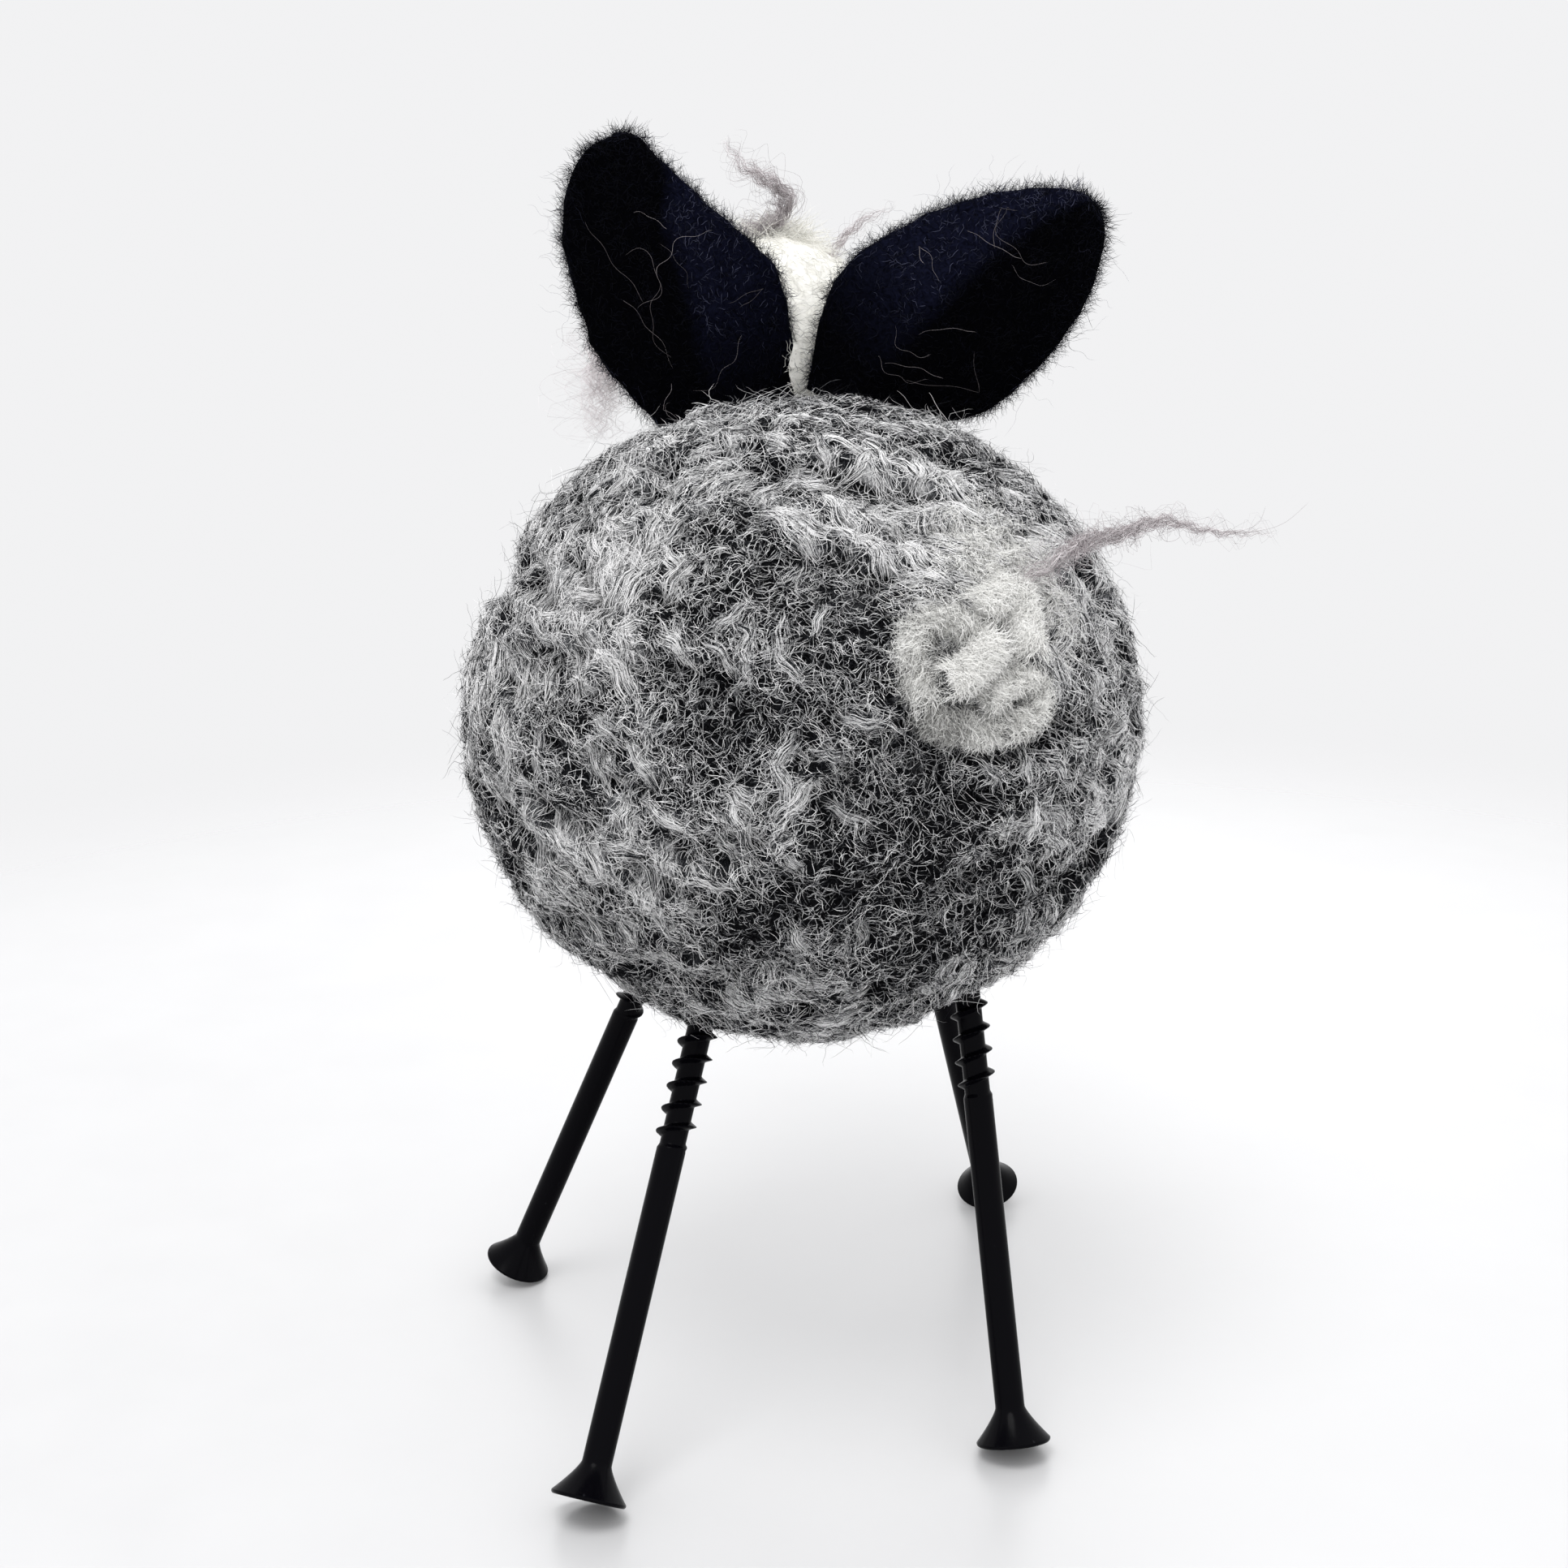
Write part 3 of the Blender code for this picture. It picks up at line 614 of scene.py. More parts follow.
def drawn(places):
    """Directions along a strand through places given by azimuth and elevation."""
    way = [on_sphere(azimuth, elevation) for azimuth, elevation in places]
    length = sum(np.linalg.norm(b - a) for a, b in zip(way, way[1:]))
    return unit(smooth_path(way, int(length / (2 * math.pi) * SAMPLES_A_TURN) + 8))


def wind_ball():
    winding = Winding()
    for _ in range(14):
        winding.add(winding.lowest(14,
                                   lambda: spiral(math.degrees(math.acos(RNG.random())), RNG.uniform(0, 360),
                                                      RNG.uniform(-25, 45), 2.6)))
    for tilt, toward, start, turns in ((14, 190, 64, 3.3), (24, 60, -14, 3.4), (20, 300, 36, 3.6),
                                       (16, 10, 12, 3.4),
                                       (30, 120, 54, 1.6), (12, 160, -28, 4.2), (38, 260, 10, 1.2)):
        winding.add(spiral(tilt, toward, start, turns, 0.8))
    for _ in range(7):
        winding.add(winding.lowest(12, lambda: spiral(RNG.uniform(5, 75), RNG.uniform(0, 360),
                                                      RNG.uniform(-50, 60), 1.3)))
    for places in PALE_RUNS:
        winding.add(drawn(places), RUN_PALENESS)
    return winding


def zone_shade(directions):
    """How much paler or darker the wool is along the given directions."""
    zone = np.zeros(len(directions))
    for azimuth, elevation, size, change in PATCHES:
        apart = np.degrees(np.arccos(np.clip(directions @ on_sphere(azimuth, elevation), -1, 1)))
        zone += change * np.exp(-(apart / size) ** 2)
    return np.clip(zone, -0.6, 0.8)


def tweed(directions, length, paleness):
    """The shade of each ply along a strand: one with long pale stretches, the other mostly charcoal."""
    count = len(directions)
    zone = zone_shade(directions)
    shades = []
    for dark, gain, follows, share in ((0.24, 0.58, 1.0, 1.0), (0.20, 0.24, 0.75, 0.3)):
        pale = uneven(length, count, 12 * MM, 0.0, 1.0)
        shade = dark + gain * np.clip((pale - 0.42) * 3.0, 0, 1) + follows * zone + share * paleness
        shades.append(np.clip(shade + uneven(length, count, 2.2 * MM, -0.10, 0.10), 0.05, 0.95))
    return shades


class Skin:
    """The outside of the wound ball: where a ray towards its centre meets the yarn, and what lies there."""

    def __init__(self, points, faces, tangents, shades):
        self.tree = BVHTree.FromPolygons(points.tolist(), faces.tolist())
        self.tangents, self.shades = tangents, shades
        self.rows, self.columns = 300, 600
        polar = np.linspace(0, math.pi, self.rows)[:, None]
        around = (np.arange(self.columns) * 2 * math.pi / self.columns)[None]
        grid = np.stack((np.sin(polar) * np.cos(around), np.sin(polar) * np.sin(around),
                         np.cos(polar) * np.ones_like(around)), axis=-1)
        self.grid = np.array([self.cast(d)[0] for d in grid.reshape(-1, 3)]).reshape(self.rows, self.columns)

    def cast(self, direction):
        d = Vector(direction)
        hit, normal, index, _ = self.tree.ray_cast(d * (BALL_RADIUS + 12 * MM), -d)
        return (hit.length, index, normal) if hit else (BASE_RADIUS, -1, d)

    def height(self, directions):
        """The yarn's outer surface along directions (..., 3), read from the grid."""
        row = np.arccos(np.clip(directions[..., 2], -1, 1)) / math.pi * (self.rows - 1)
        column = (np.arctan2(directions[..., 1], directions[..., 0]) / (2 * math.pi)) % 1 * self.columns
        r, c = np.clip(row.astype(int), 0, self.rows - 2), column.astype(int) % self.columns
        fr, fc = row - r, column - np.floor(column)
        d = (c + 1) % self.columns
        return ((self.grid[r, c] * (1 - fc) + self.grid[r, d] * fc) * (1 - fr)
                + (self.grid[r + 1, c] * (1 - fc) + self.grid[r + 1, d] * fc) * fr)


def strand_arrays(directions, middle, radii, length, paleness):
    """One strand as a two-ply tube: its vertices, faces, shades, the lie of its fibres and its tangents."""
    count = len(directions)
    way = np.linspace(0, length, count)
    paths = (directions * middle[:, None])[None]
    angles = np.arange(YARN_SIDES) * 2 * math.pi / YARN_SIDES
    turned = angles[None] + (PLY_TWIST * way)[:, None]
    plies = 1 + 0.13 * np.cos(2 * turned)
    lumps = 1 + 0.06 * np.sin(3 * turned + way[:, None] * 1900) * np.sin(way * 700)[:, None]
    points, loops, starts = tubes(paths, (radii[:, None] * plies * lumps)[None], directions[None], YARN_SIDES)
    first, second = tweed(directions, length, paleness)
    share = 0.5 + 0.5 * np.clip(2.2 * np.cos(turned), -1, 1)
    ring_shades = first[:, None] * share + second[:, None] * (1 - share)
    shade = np.concatenate((first[:1], ring_shades[1:-1].ravel(), first[-1:]))
    across = angles[None] * YARN_RADIUS - way[:, None] * 0.9
    along = way[:, None] + angles[None] * YARN_RADIUS * 0.6
    lie = np.stack((across * 900, along * 7000, np.zeros_like(across) + RNG.random() * 50), axis=-1)
    lie = np.concatenate((lie[:1, 0], lie[1:-1].reshape(-1, 3), lie[-1:, 0]))
    tangent = unit(np.gradient(paths[0], axis=0))
    return points, loops, starts, shade, lie, tangent, first


def build_ball(winding):
    """The strands as pieces, the wool under them (painted near black as shade in the gaps), and the skin that
    the fuzz grows on.
    """
    packs, tops, skin_points, skin_faces, tangents, shades, offset = [], [], [], [], [], [], 0
    for directions, middle, radii, length, paleness in winding.strands:
        proud = np.clip(middle + radii - winding.level(directions), -3.5 * MM, 1.5 * MM)
        middle = SKIN_RADIUS + RELIEF * proud - radii
        points, loops, starts, shade, lie, tangent, pale_ply = strand_arrays(directions, middle, radii,
            length,
                                                                             paleness)
        packs.append((points, loops, starts, shade, lie))
        crest = np.arange(0.75 * PLY_PITCH, length - PLY_PITCH, PLY_PITCH)
        at = (crest / length * (len(directions) - 1)).astype(int)
        tops += list(zip(directions[at], tangent[at], (middle + radii)[at], pale_ply[at]))
        count = len(directions)
        rings = np.arange(count - 3)[:, None] * YARN_SIDES + np.arange(YARN_SIDES)[None]
        following = (np.arange(count - 3)[:, None] * YARN_SIDES
                     + ((np.arange(YARN_SIDES) + 1) % YARN_SIDES)[None])
        quads = np.stack((rings, rings + YARN_SIDES, following + YARN_SIDES, following), axis=-1) + 1
        skin_points.append(points)
        skin_faces.append(quads.reshape(-1, 4) + offset)
        tangents.append(np.repeat(tangent[1:-2], YARN_SIDES, axis=0))
        shades.append(shade[quads.reshape(-1, 4)[:, 0]])
        offset += len(points)
    points, quads, east = ground_sphere()
    skin_points.append(points)
    skin_faces.append(quads + offset)
    tangents.append(east)
    ground = zone_shade(unit(points[quads].mean(axis=1)))
    shades.append(np.clip(0.26 + 0.9 * ground + RNG.uniform(-0.15, 0.15, size=len(quads)), 0.05, 0.9))
    skin = Skin(np.concatenate(skin_points), np.concatenate(skin_faces), np.concatenate(tangents),
                np.concatenate(shades))
    join_strands(packs)
    add_base()
    add_locks(skin, tops)
    return skin


def ground_sphere(rows=60, columns=120):
    """The wool under the strands as a grid of quads, with the way east on each."""
    polar, around = np.meshgrid(np.linspace(0.03, math.pi - 0.03, rows),
                                np.arange(columns) * 2 * math.pi / columns,
                                indexing="ij")
    grid = np.stack((np.sin(polar) * np.cos(around), np.sin(polar) * np.sin(around), np.cos(polar)), axis=-1)
    at = np.arange(rows * columns).reshape(rows, columns)
    after = np.roll(at, -1, axis=1)
    quads = np.stack((at[:-1], at[1:], after[1:], after[:-1]), axis=-1).reshape(-1, 4)
    east = np.stack((-np.sin(around), np.cos(around), 0 * around), axis=-1)[:-1].reshape(-1, 3)
    return grid.reshape(-1, 3) * (SKIN_RADIUS - GROUND_DEPTH), quads, east


def join_strands(packs):
    """Groups the strands into pieces that stay under the triangle limit."""
    groups, size = [[]], 0
    for pack in packs:
        if size + 2 * len(pack[2]) > MOST_TRIANGLES and groups[-1]:
            groups.append([])
            size = 0
        groups[-1].append(pack)
        size += 2 * len(pack[2])
    for number, group in enumerate(groups):
        at = np.cumsum([0] + [len(pack[0]) for pack in group[:-1]])
        corner_at = np.cumsum([0] + [len(pack[1]) for pack in group[:-1]])
        piece = make_object(
            f"yarn_strands_{number + 1}",
            to_world(np.concatenate([pack[0] for pack in group])),
            np.concatenate([pack[1] + first for pack, first in zip(group, at)]),
            np.concatenate([pack[2] + first for pack, first in zip(group, corner_at)]),
            GREY_YARN, "body",
            # Raised to a power, which darkens the darker strands most: painted shade in the gaps under the
            # fuzz
            np.concatenate([pack[3] ** 1.8 for pack in group]),
            np.concatenate([pack[4] for pack in group]),
        )
        if number == 0:
            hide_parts("yarn_wrap")


def add_locks(skin, tops, fibres=46, steps=6):
    """Where the pale ply comes up over a strand: a lock of pale fibres that lie side by side along the
    ply."""
    seen = [(d, t, shade) for d, t, top, shade in tops
            if shade > 0.56 and skin.cast(d)[0] < top + 0.35 * MM]
    centre, tangent, shade = (np.array(values) for values in zip(*seen))
    count = len(centre)
    slant = PLY_SLANT + RNG.normal(size=count) * 0.24
    side = np.cross(centre, tangent)
    along = tangent * np.cos(slant)[:, None] + side * np.sin(slant)[:, None]
    across = np.cross(centre, along)
    half, width = RNG.uniform(1.5, 3.1, size=count) * MM, RNG.uniform(0.6, 1.35, size=count) * MM
    arc, phase = RNG.normal(size=count) * 0.35 * MM, RNG.random(count) * 6.28
    share = np.linspace(-1, 1, steps)[None, None]
    place = RNG.uniform(-1, 1, size=(count, fibres, 1))
    slip = RNG.normal(size=(count, fibres, 1)) * 0.30
    length = RNG.uniform(0.6, 1.05, size=(count, fibres, 1))
    run = share * length + slip
    wave = 0.19 * MM * np.sin(run * 5.0 + phase[:, None, None] + place * 0.8)
    ahead = run * half[:, None, None]
    aside = (place * width[:, None, None] * (1 - 0.35 * run ** 2) + arc[:, None, None] * run ** 2 + wave
             + RNG.normal(size=(count, fibres, 1)) * 0.17 * MM * run)
    offset = along[:, None, None] * ahead[..., None] + across[:, None, None] * aside[..., None]
    track = unit(centre[:, None, None] + offset / SKIN_RADIUS)
    ground = skin.height(track)
    ground = np.maximum(ground, ground.mean(axis=2, keepdims=True))
    for _ in range(2):
        ground[..., 1:-1] = (ground[..., :-2] + ground[..., 1:-1] + ground[..., 2:]) / 3
    crown = np.clip(1 - place ** 2, 0, 1) * np.clip(1.1 - run ** 2, 0, 1)
    lift = (0.06 + 0.38 * crown + 0.26 * RNG.random((count, fibres, 1))) * MM
    paths = to_world(track * (ground + lift)[..., None]).reshape(-1, steps, 3)
    pale = np.clip(0.60 + 0.44 * shade[:, None] + RNG.normal(size=(count, fibres)) * 0.10, 0, 1)
    dark = RNG.random((count, fibres)) < 0.28
    shades = np.where(dark, 0.3, pale).ravel()
    up = np.repeat(centre, fibres, axis=0)[:, None]
    add_fibres("wool_lock", paths, 0.039 * MM * RNG.uniform(0.75, 1.3, size=len(paths)), shades, up,
               GREY_FIBRE,
               "body")


def add_base():
    """The matted wool that shows in the gaps between strands: the yarn's own charcoal, painted near black as
    shade in the gaps.
    """
    work = bmesh.new()
    bmesh.ops.create_icosphere(work, subdivisions=6, radius=1.0)
    for vertex in work.verts:
        d = vertex.co.normalized()
        lump = noise.fractal(d * 14, 0.8, 2.0, 4)
        vertex.co = d * (SKIN_RADIUS - GROUND_DEPTH + lump * 0.5 * MM)
    mesh = bpy.data.meshes.new("yarn_base")
    work.to_mesh(mesh)
    work.free()
    points = np.zeros(len(mesh.vertices) * 3)
    mesh.vertices.foreach_get("co", points)
    mesh.vertices.foreach_set("co", to_world(points.reshape(-1, 3)).ravel())
    mesh.shade_smooth()
    # Near black: the wool's dark ply, painted darker still as shade in the gaps
    mesh.materials.append(felt_material("gap_wool_painted_shade", ((0.001, 0.001, 0.002), (0.09, 0.092, 0.096)), 1700.0,
                                        0.3 * MM))
    base = bpy.data.objects.new("yarn_base", mesh)
    bpy.context.scene.collection.objects.link(base)
    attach(base, "body")


def roots_on(skin, count, around=None, reach=0.0):
    """Random places on the skin, all over it or around one direction, with the strand's way and shade
    there."""
    directions = RNG.normal(size=(count, 3))
    directions = unit(directions + SEEN_SIDE if around is None else around + directions * reach)
    hits = [skin.cast(d) for d in directions]
    index = np.array([hit[1] for hit in hits])
    kept = index >= 0
    index = index[kept]
    return directions[kept], skin.tangents[index], skin.shades[index]


def swirl(places, wave):
    """A smooth field over the ball, about -1 to 1, that turns neighbouring fibres alike every `wave`
    metres."""
    return sum(np.sin(places @ (way * 2 * math.pi * BALL_RADIUS / wave) + start)
               for way, start in SWIRLS) / 2.8


def turned_by(way, place, angle):
    return way * np.cos(angle)[:, None] + np.cross(place, way) * np.sin(angle)[:, None]


def crawl(directions, heading, length, steps, crimp, wave, drift):
    """Walks fibres over the unit sphere from their roots: the swirl turns them by `crimp` radians, and each
    turns by up to `drift` radians in all. Returns unit directions (fibres, steps, 3)."""
    count = len(directions)
    place, way = directions.copy(), unit(heading - (heading * directions).sum(1, keepdims=True) * directions)
    turn = RNG.normal(size=count) * drift / steps
    stride = length / (steps - 1) / BALL_RADIUS
    last = swirl(place, wave) * crimp
    way = turned_by(way, place, last)
    track = [place]
    for step in range(1, steps):
        now = swirl(place, wave) * crimp
        way = turned_by(way, place, now - last + turn + RNG.normal(size=count) * drift * 0.25 / steps)
        last = now
        place = unit(place + way * stride[:, None])
        way = unit(way - (way * place).sum(1, keepdims=True) * place)
        track.append(place)
    return np.stack(track, axis=1)


def fuzz_paths(skin, count, lengths, steps, crimp, wave, drift, rise, spread, around=None, reach=0.0):
    """Fibres that grow from the strands at a slant to them and lift away by `rise` at their ends."""
    directions, tangents, shades = roots_on(skin, count, around, reach)
    count = len(directions)
    length = RNG.uniform(*lengths, size=count)
    locks = np.array([noise.noise(Vector(d * 9)) + 0.5 * noise.noise(Vector(d * 18)) for d in directions])
    pale = np.clip((shades - 0.40) / 0.3, 0, 1)
    angle = PLY_SLANT + (1 - 0.6 * pale) * (1.2 * locks + RNG.normal(size=count) * spread)
    angle += (RNG.random(count) < 0.5) * math.pi
    side = np.cross(directions, tangents)
    heading = tangents * np.cos(angle)[:, None] + side * np.sin(angle)[:, None]
    calm = (1 - 0.45 * pale) * RNG.uniform(0.75, 1.25, size=count)
    track = crawl(directions, heading, length, steps, crimp * calm, wave, drift * calm)
    ground = skin.height(track)
    ground = np.maximum(ground, ground.mean(axis=1, keepdims=True))
    for _ in range(2):
        ground[:, 1:-1] = (ground[:, :-2] + ground[:, 1:-1] + ground[:, 2:]) / 3
    share = np.linspace(0, 1, steps)[None]
    lift = RNG.uniform(*rise, size=count)[:, None]
    ripple = 0.09 * MM * np.sin(share * length[:, None] / (0.9 * MM) * 6.28 + RNG.random(count)[:, None]
                                * 6.28)
    height = (ground - 0.12 * MM * (1 - share) + (0.28 * MM + 0 * lift) * np.sin(share * 2.6)
              + lift * share ** 1.7)
    return track * (height + ripple * np.minimum(1, share * 3))[..., None], directions, shades


def fibre_shades(shades):
    """Pale fibres and dark ones, as in a marled yarn: the paler the strand, the more of them are pale."""
    count = len(shades)
    pale = RNG.random(count) < 0.34 + 0.60 * shades
    light = 0.75 + 0.34 * shades + RNG.normal(size=count) * 0.14
    dark = 0.36 * shades + RNG.normal(size=count) * 0.12
    return np.clip(np.where(pale, light, dark), 0.0, 1.0)


def add_fuzz(skin):
    """The matted fibres of the yarn, the looser ones that stand off it, and long stray ones."""
    families = (
        # name, count, lengths, steps, crimp, wave, drift, rise, spread of slant, fibre radius
        ("wool_mat", 101000, (1.3, 3.1), 5, 1.2, 2.5, 1.5, (0.0, 0.8), 0.40, 0.039),
        ("wool_fuzz", 9500, (2.2, 5.0), 8, 1.2, 2.8, 3.4, (0.4, 1.7), 0.8, 0.032),
        ("wool_flyaway", 2400, (4.0, 11.0), 13, 0.7, 3.4, 5.0, (0.8, 3.6), 1.5, 0.021),
        ("wool_stray", 150, (8.0, 20.0), 26, 0.45, 5.0, 4.5, (0.7, 1.4), 1.5, 0.028),
    )
    for name, count, lengths, steps, crimp, wave, drift, rise, spread, radius in families:
        lengths, rise = np.array(lengths) * MM, np.array(rise) * MM
        paths, directions, shades = fuzz_paths(skin, count, lengths, steps, crimp, wave * MM, drift, rise,
                                               spread)
        shades = fibre_shades(shades) if name != "wool_stray" else RNG.uniform(0.6, 1.0, size=len(shades))
        paths = to_world(paths)
        paths[..., 2] = np.maximum(paths[..., 2], 3 * MM)
        radii = radius * MM * RNG.uniform(0.7, 1.35, size=len(paths))
        add_fibres(name, paths, radii, shades, directions[:, None], GREY_FIBRE, "body")


# ---------------------------------------------------------------- tufts: bundles of roving

def bundle(path, radius, count, steps, twist, loose, blunt, ripple=0.4, wave=2.6 * MM):
    """Fibres that run along a tuft of roving, in a few wavy locks, each at its own place in the round
    section."""
    spine = smooth_path(path, 60)
    way = np.linspace(0, 1, 60)
    tangent = unit(np.gradient(spine, axis=0))
    side = unit(np.cross(tangent, (0.2, 1.0, 0.15)))
    rise = np.cross(side, tangent)
    length = np.linalg.norm(np.diff(spine, axis=0), axis=1).sum()
    start = RNG.uniform(-0.12, 0.55, size=count)
    end = np.clip(start + RNG.uniform(0.35, 0.75, size=count), 0.1, 1.12)
    share = start[:, None] + (end - start)[:, None] * np.linspace(0, 1, steps)[None]
    inside = np.clip(share, 0, 1)
    middle = np.stack([np.interp(inside, way, spine[:, axis]) for axis in range(3)], axis=-1)
    ahead = np.stack([np.interp(inside, way, tangent[:, axis]) for axis in range(3)], axis=-1)
    middle += ahead * ((share - inside) * length)[..., None]
    width = radius * np.interp(share, (0, 0.12, 0.6, 1.0, 1.1),
                               (0.8, 1.0, 0.5 + 0.5 * blunt, blunt, 0.6 * blunt))
    width = width * (1 + 0.22 * np.sin(share * length / (3.4 * MM) * 6.28 + 1.3))
    place = np.sqrt(RNG.random(count))[:, None] * (1 + loose * RNG.normal(size=count)[:, None] ** 2)
    angle = RNG.random(count)[:, None] * 6.28 + twist * share
    lock = RNG.integers(0, 7, size=count)
    phase = (RNG.random((7, 2, 1)) * 6.28)[lock] + RNG.normal(size=(count, 2, 1)) * 0.5
    waves = ripple * radius * np.sin(share[:, None] * length / wave * 6.28 + phase)
    across = (width * place * np.cos(angle) + waves[:, 0])[..., None]
    over = (width * place * np.sin(angle) + waves[:, 1])[..., None]
    sides = np.stack([np.interp(inside, way, side[:, axis]) for axis in range(3)], axis=-1)
    rises = np.stack([np.interp(inside, way, rise[:, axis]) for axis in range(3)], axis=-1)
    return middle + sides * across + rises * over


def upright(paths):
    """A direction across each fibre, for its section."""
    chord = paths[:, -1] - paths[:, 0]
    return unit(np.cross(chord, RNG.normal(size=chord.shape)))[:, None]


def add_tuft(name, path, radius, count, body, node, blunt, shade, twist=7.0):
    """A tuft as soft locks of fibres, and loose ones in wider curls round them."""
    tight = bundle(path, radius, count, 20, twist, 0.14, blunt)
    shades = np.clip(RNG.normal(shade, 0.2, size=count), 0.0, 1)
    piece = add_fibres(name + "_roving", tight, 0.030 * MM, shades, upright(tight), ROVING_FIBRE, body)[0]
    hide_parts(node)
    stray = bundle(path, radius * 1.3, count // 3, 26, twist * 0.5, 0.5, blunt, ripple=1.2, wave=4.5 * MM)
    shades = np.clip(shade + RNG.uniform(-0.5, 0.1, size=len(stray)), 0, 1)
    add_fibres(name + "_strays", stray, 0.014 * MM, shades, upright(stray), ROVING_FIBRE, body)


def add_strand(name, path, radius, material, body, shade_range, steps=110):
    """A short thick strand of yarn with round ends."""
    spine = smooth_path(path, steps)
    length = np.linalg.norm(np.diff(spine, axis=0), axis=1).sum()
    way = np.linspace(0, length, steps)
    taper = np.sqrt(np.clip(1 - (1 - np.minimum(way, length - way) / (1.2 * radius)).clip(0) ** 2, 0, 1))
    angles = np.arange(16) * 2 * math.pi / 16
    turned = angles[None] - (PLY_TWIST * 0.8 * way)[:, None]
    lumpy = uneven(length, steps, 2.2 * MM, 0.68, 1.22)
    radii = radius * (taper * lumpy)[:, None] * (1 + 0.12 * np.cos(2 * turned))
    outward = unit(spine - BALL_CENTRE)
    points, loops, starts = tubes(spine[None], radii[None], outward[None], 16)
    shades = uneven(length, steps, 3.5 * MM, *shade_range)
    lie = np.stack(((angles[None] * radius + way[:, None]) * 900,
                    (way[:, None] - angles[None] * radius) * 7000,
                    np.zeros((steps, 16))), axis=-1)
    lie = np.concatenate((lie[:1, 0], lie[1:-1].reshape(-1, 3), lie[-1:, 0]))
    return make_object(name, points, loops, starts, material, body, on_rings(shades[None], 16),
                       lie), spine, shades


def coat_strand(name, spine, radius, shades, count, lengths, material, body, rise, seed_twist=0.9):
    """Fuzz on a strand that isn't part of the ball."""
    at = RNG.integers(1, len(spine) - 1, size=count)
    tangent = unit(np.gradient(spine, axis=0))[at]
    outward = unit(spine - BALL_CENTRE)[at]
    side = np.cross(tangent, outward)
    around = RNG.normal(size=count) * 1.1
    normal = outward * np.cos(around)[:, None] + side * np.sin(around)[:, None]
    root = spine[at] + normal * radius * 0.88
    other = np.cross(tangent, normal)
    slant = seed_twist + RNG.normal(size=count) * 0.6 + (RNG.random(count) < 0.5) * math.pi
    length = RNG.uniform(*lengths, size=count)
    steps = 7
    share = np.linspace(0, 1, steps)[None, :, None]
    heading = tangent * np.cos(slant)[:, None] + other * np.sin(slant)[:, None]
    sideways = np.cross(normal, heading)
    wave = (np.sin(share * length[:, None, None] / (1.4 * MM) * 6.28 + RNG.random((count, 1, 1)) * 6.28)
            * 0.16 * MM)
    drop = (-(length ** 2)[:, None, None] * share ** 2 / (2 * radius) * (np.sin(slant) ** 2)[:, None, None]
            * 0.55)
    lift = RNG.uniform(*rise, size=count)[:, None, None] * share ** 1.5 + 0.25 * MM * np.sin(share * 2.6)
    paths = (root[:, None] + heading[:, None] * length[:, None, None] * share + sideways[:, None] * wave
             + normal[:, None] * (drop + lift))
    shade = np.clip(shades[at] + RNG.normal(size=count) * 0.12, 0.05, 1)
    darker = RNG.random(count) < np.where(shades[at] > 0.96, 0.05, 1.15 - shades[at])
    shade = np.where(darker, shade * RNG.uniform(0.1, 0.7, size=count), shade)
    radii = 0.031 * MM * RNG.uniform(0.7, 1.3, size=count)
    return add_fibres(name, paths, radii, shade, normal[:, None], material, body)


def tail_path(offsets, lift):
    """Points on the ball at offsets (right, up) in mm from the tail's middle, lifted off it."""
    middle = (TAIL_PLACE - BALL_CENTRE) / FLATTEN
    out = unit(middle)
    right = unit(np.cross((0, 0, 1), out))
    up = np.cross(out, right)
    return [to_world(unit(middle + (right * x + up * y) * MM) * (BALL_RADIUS + lift)) for x, y in offsets]


def add_pale_fluff(skin):
    """The loose pale wool on the ball round the rosette and up to the wisp."""
    for number, (x, y, reach, count) in enumerate(TAIL_FLUFF):
        middle = unit((np.array(tail_path([(x, y)], 0)[0]) - BALL_CENTRE) / FLATTEN)
        paths, directions, _ = fuzz_paths(skin, count, np.array((1.5, 4.2)) * MM, 8, 1.0, 2.8 * MM, 2.5,
                                          np.array((0.0, 1.1)) * MM, 1.2, middle, reach)
        dark = RNG.random(len(paths)) < 0.2
        shades = np.where(dark, RNG.uniform(0.1, 0.5, size=len(paths)),
                          RNG.uniform(0.75, 1.0, size=len(paths)))
        add_fibres(f"tail_fluff_{number + 1}", to_world(paths), 0.042 * MM, shades, directions[:, None],
                   CREAM_FIBRE,
                   "body")


def add_tail():
    """The rosette: a ring, a knot, a fold and a bright heart of cream yarn, with fuzz, and its wisp of
    roving."""
    for name, (lift, radius, shade_range, offsets) in TAIL_STRANDS.items():
        path = tail_path(offsets, lift * MM)
        piece, spine, shades = add_strand(name, path, radius * MM, CREAM_YARN, "body",
                                          shade_range)
        if name == "tail_heart":
            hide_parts("tail_rosette")
        coat_strand(name + "_fuzz", spine, radius * MM, shades, 1700, (0.9 * MM, 3.2 * MM), CREAM_FIBRE,
                    "body",
                    (0.0, 1.0 * MM))
    add_tuft("tail_wisp", WISP, 1.0 * MM, 105, "body", "tail_wisp", 0.25, 0.55, twist=6.0)
    hairs = np.stack([smooth_path(points, 24) for points in WISP_HAIRS])
    add_fibres("tail_wisp_hairs", hairs, 0.022 * MM, 0.3, upright(hairs), ROVING_FIBRE, "body")


# ---------------------------------------------------------------- head and ears

def egg(azimuth, polar, grow=0.0):
    """Points on the head's egg, whose +Y end is the muzzle, in world coordinates."""
    x = np.sin(polar) * np.sin(azimuth)
    z = np.sin(polar) * np.cos(azimuth)
    y = np.cos(polar)
    taper = 1 - MUZZLE_TAPER * np.clip(y, 0, 1) ** 1.5
    local = np.stack((x * taper * (HEAD_HALVES[0] + grow), y * (HEAD_HALVES[1] + grow),
                      z * taper * (HEAD_HALVES[2] + grow)), axis=-1)
    turn = np.array(Matrix.Rotation(-HEAD_PITCH, 3, "X"))
    return local @ turn.T + HEAD_CENTRE


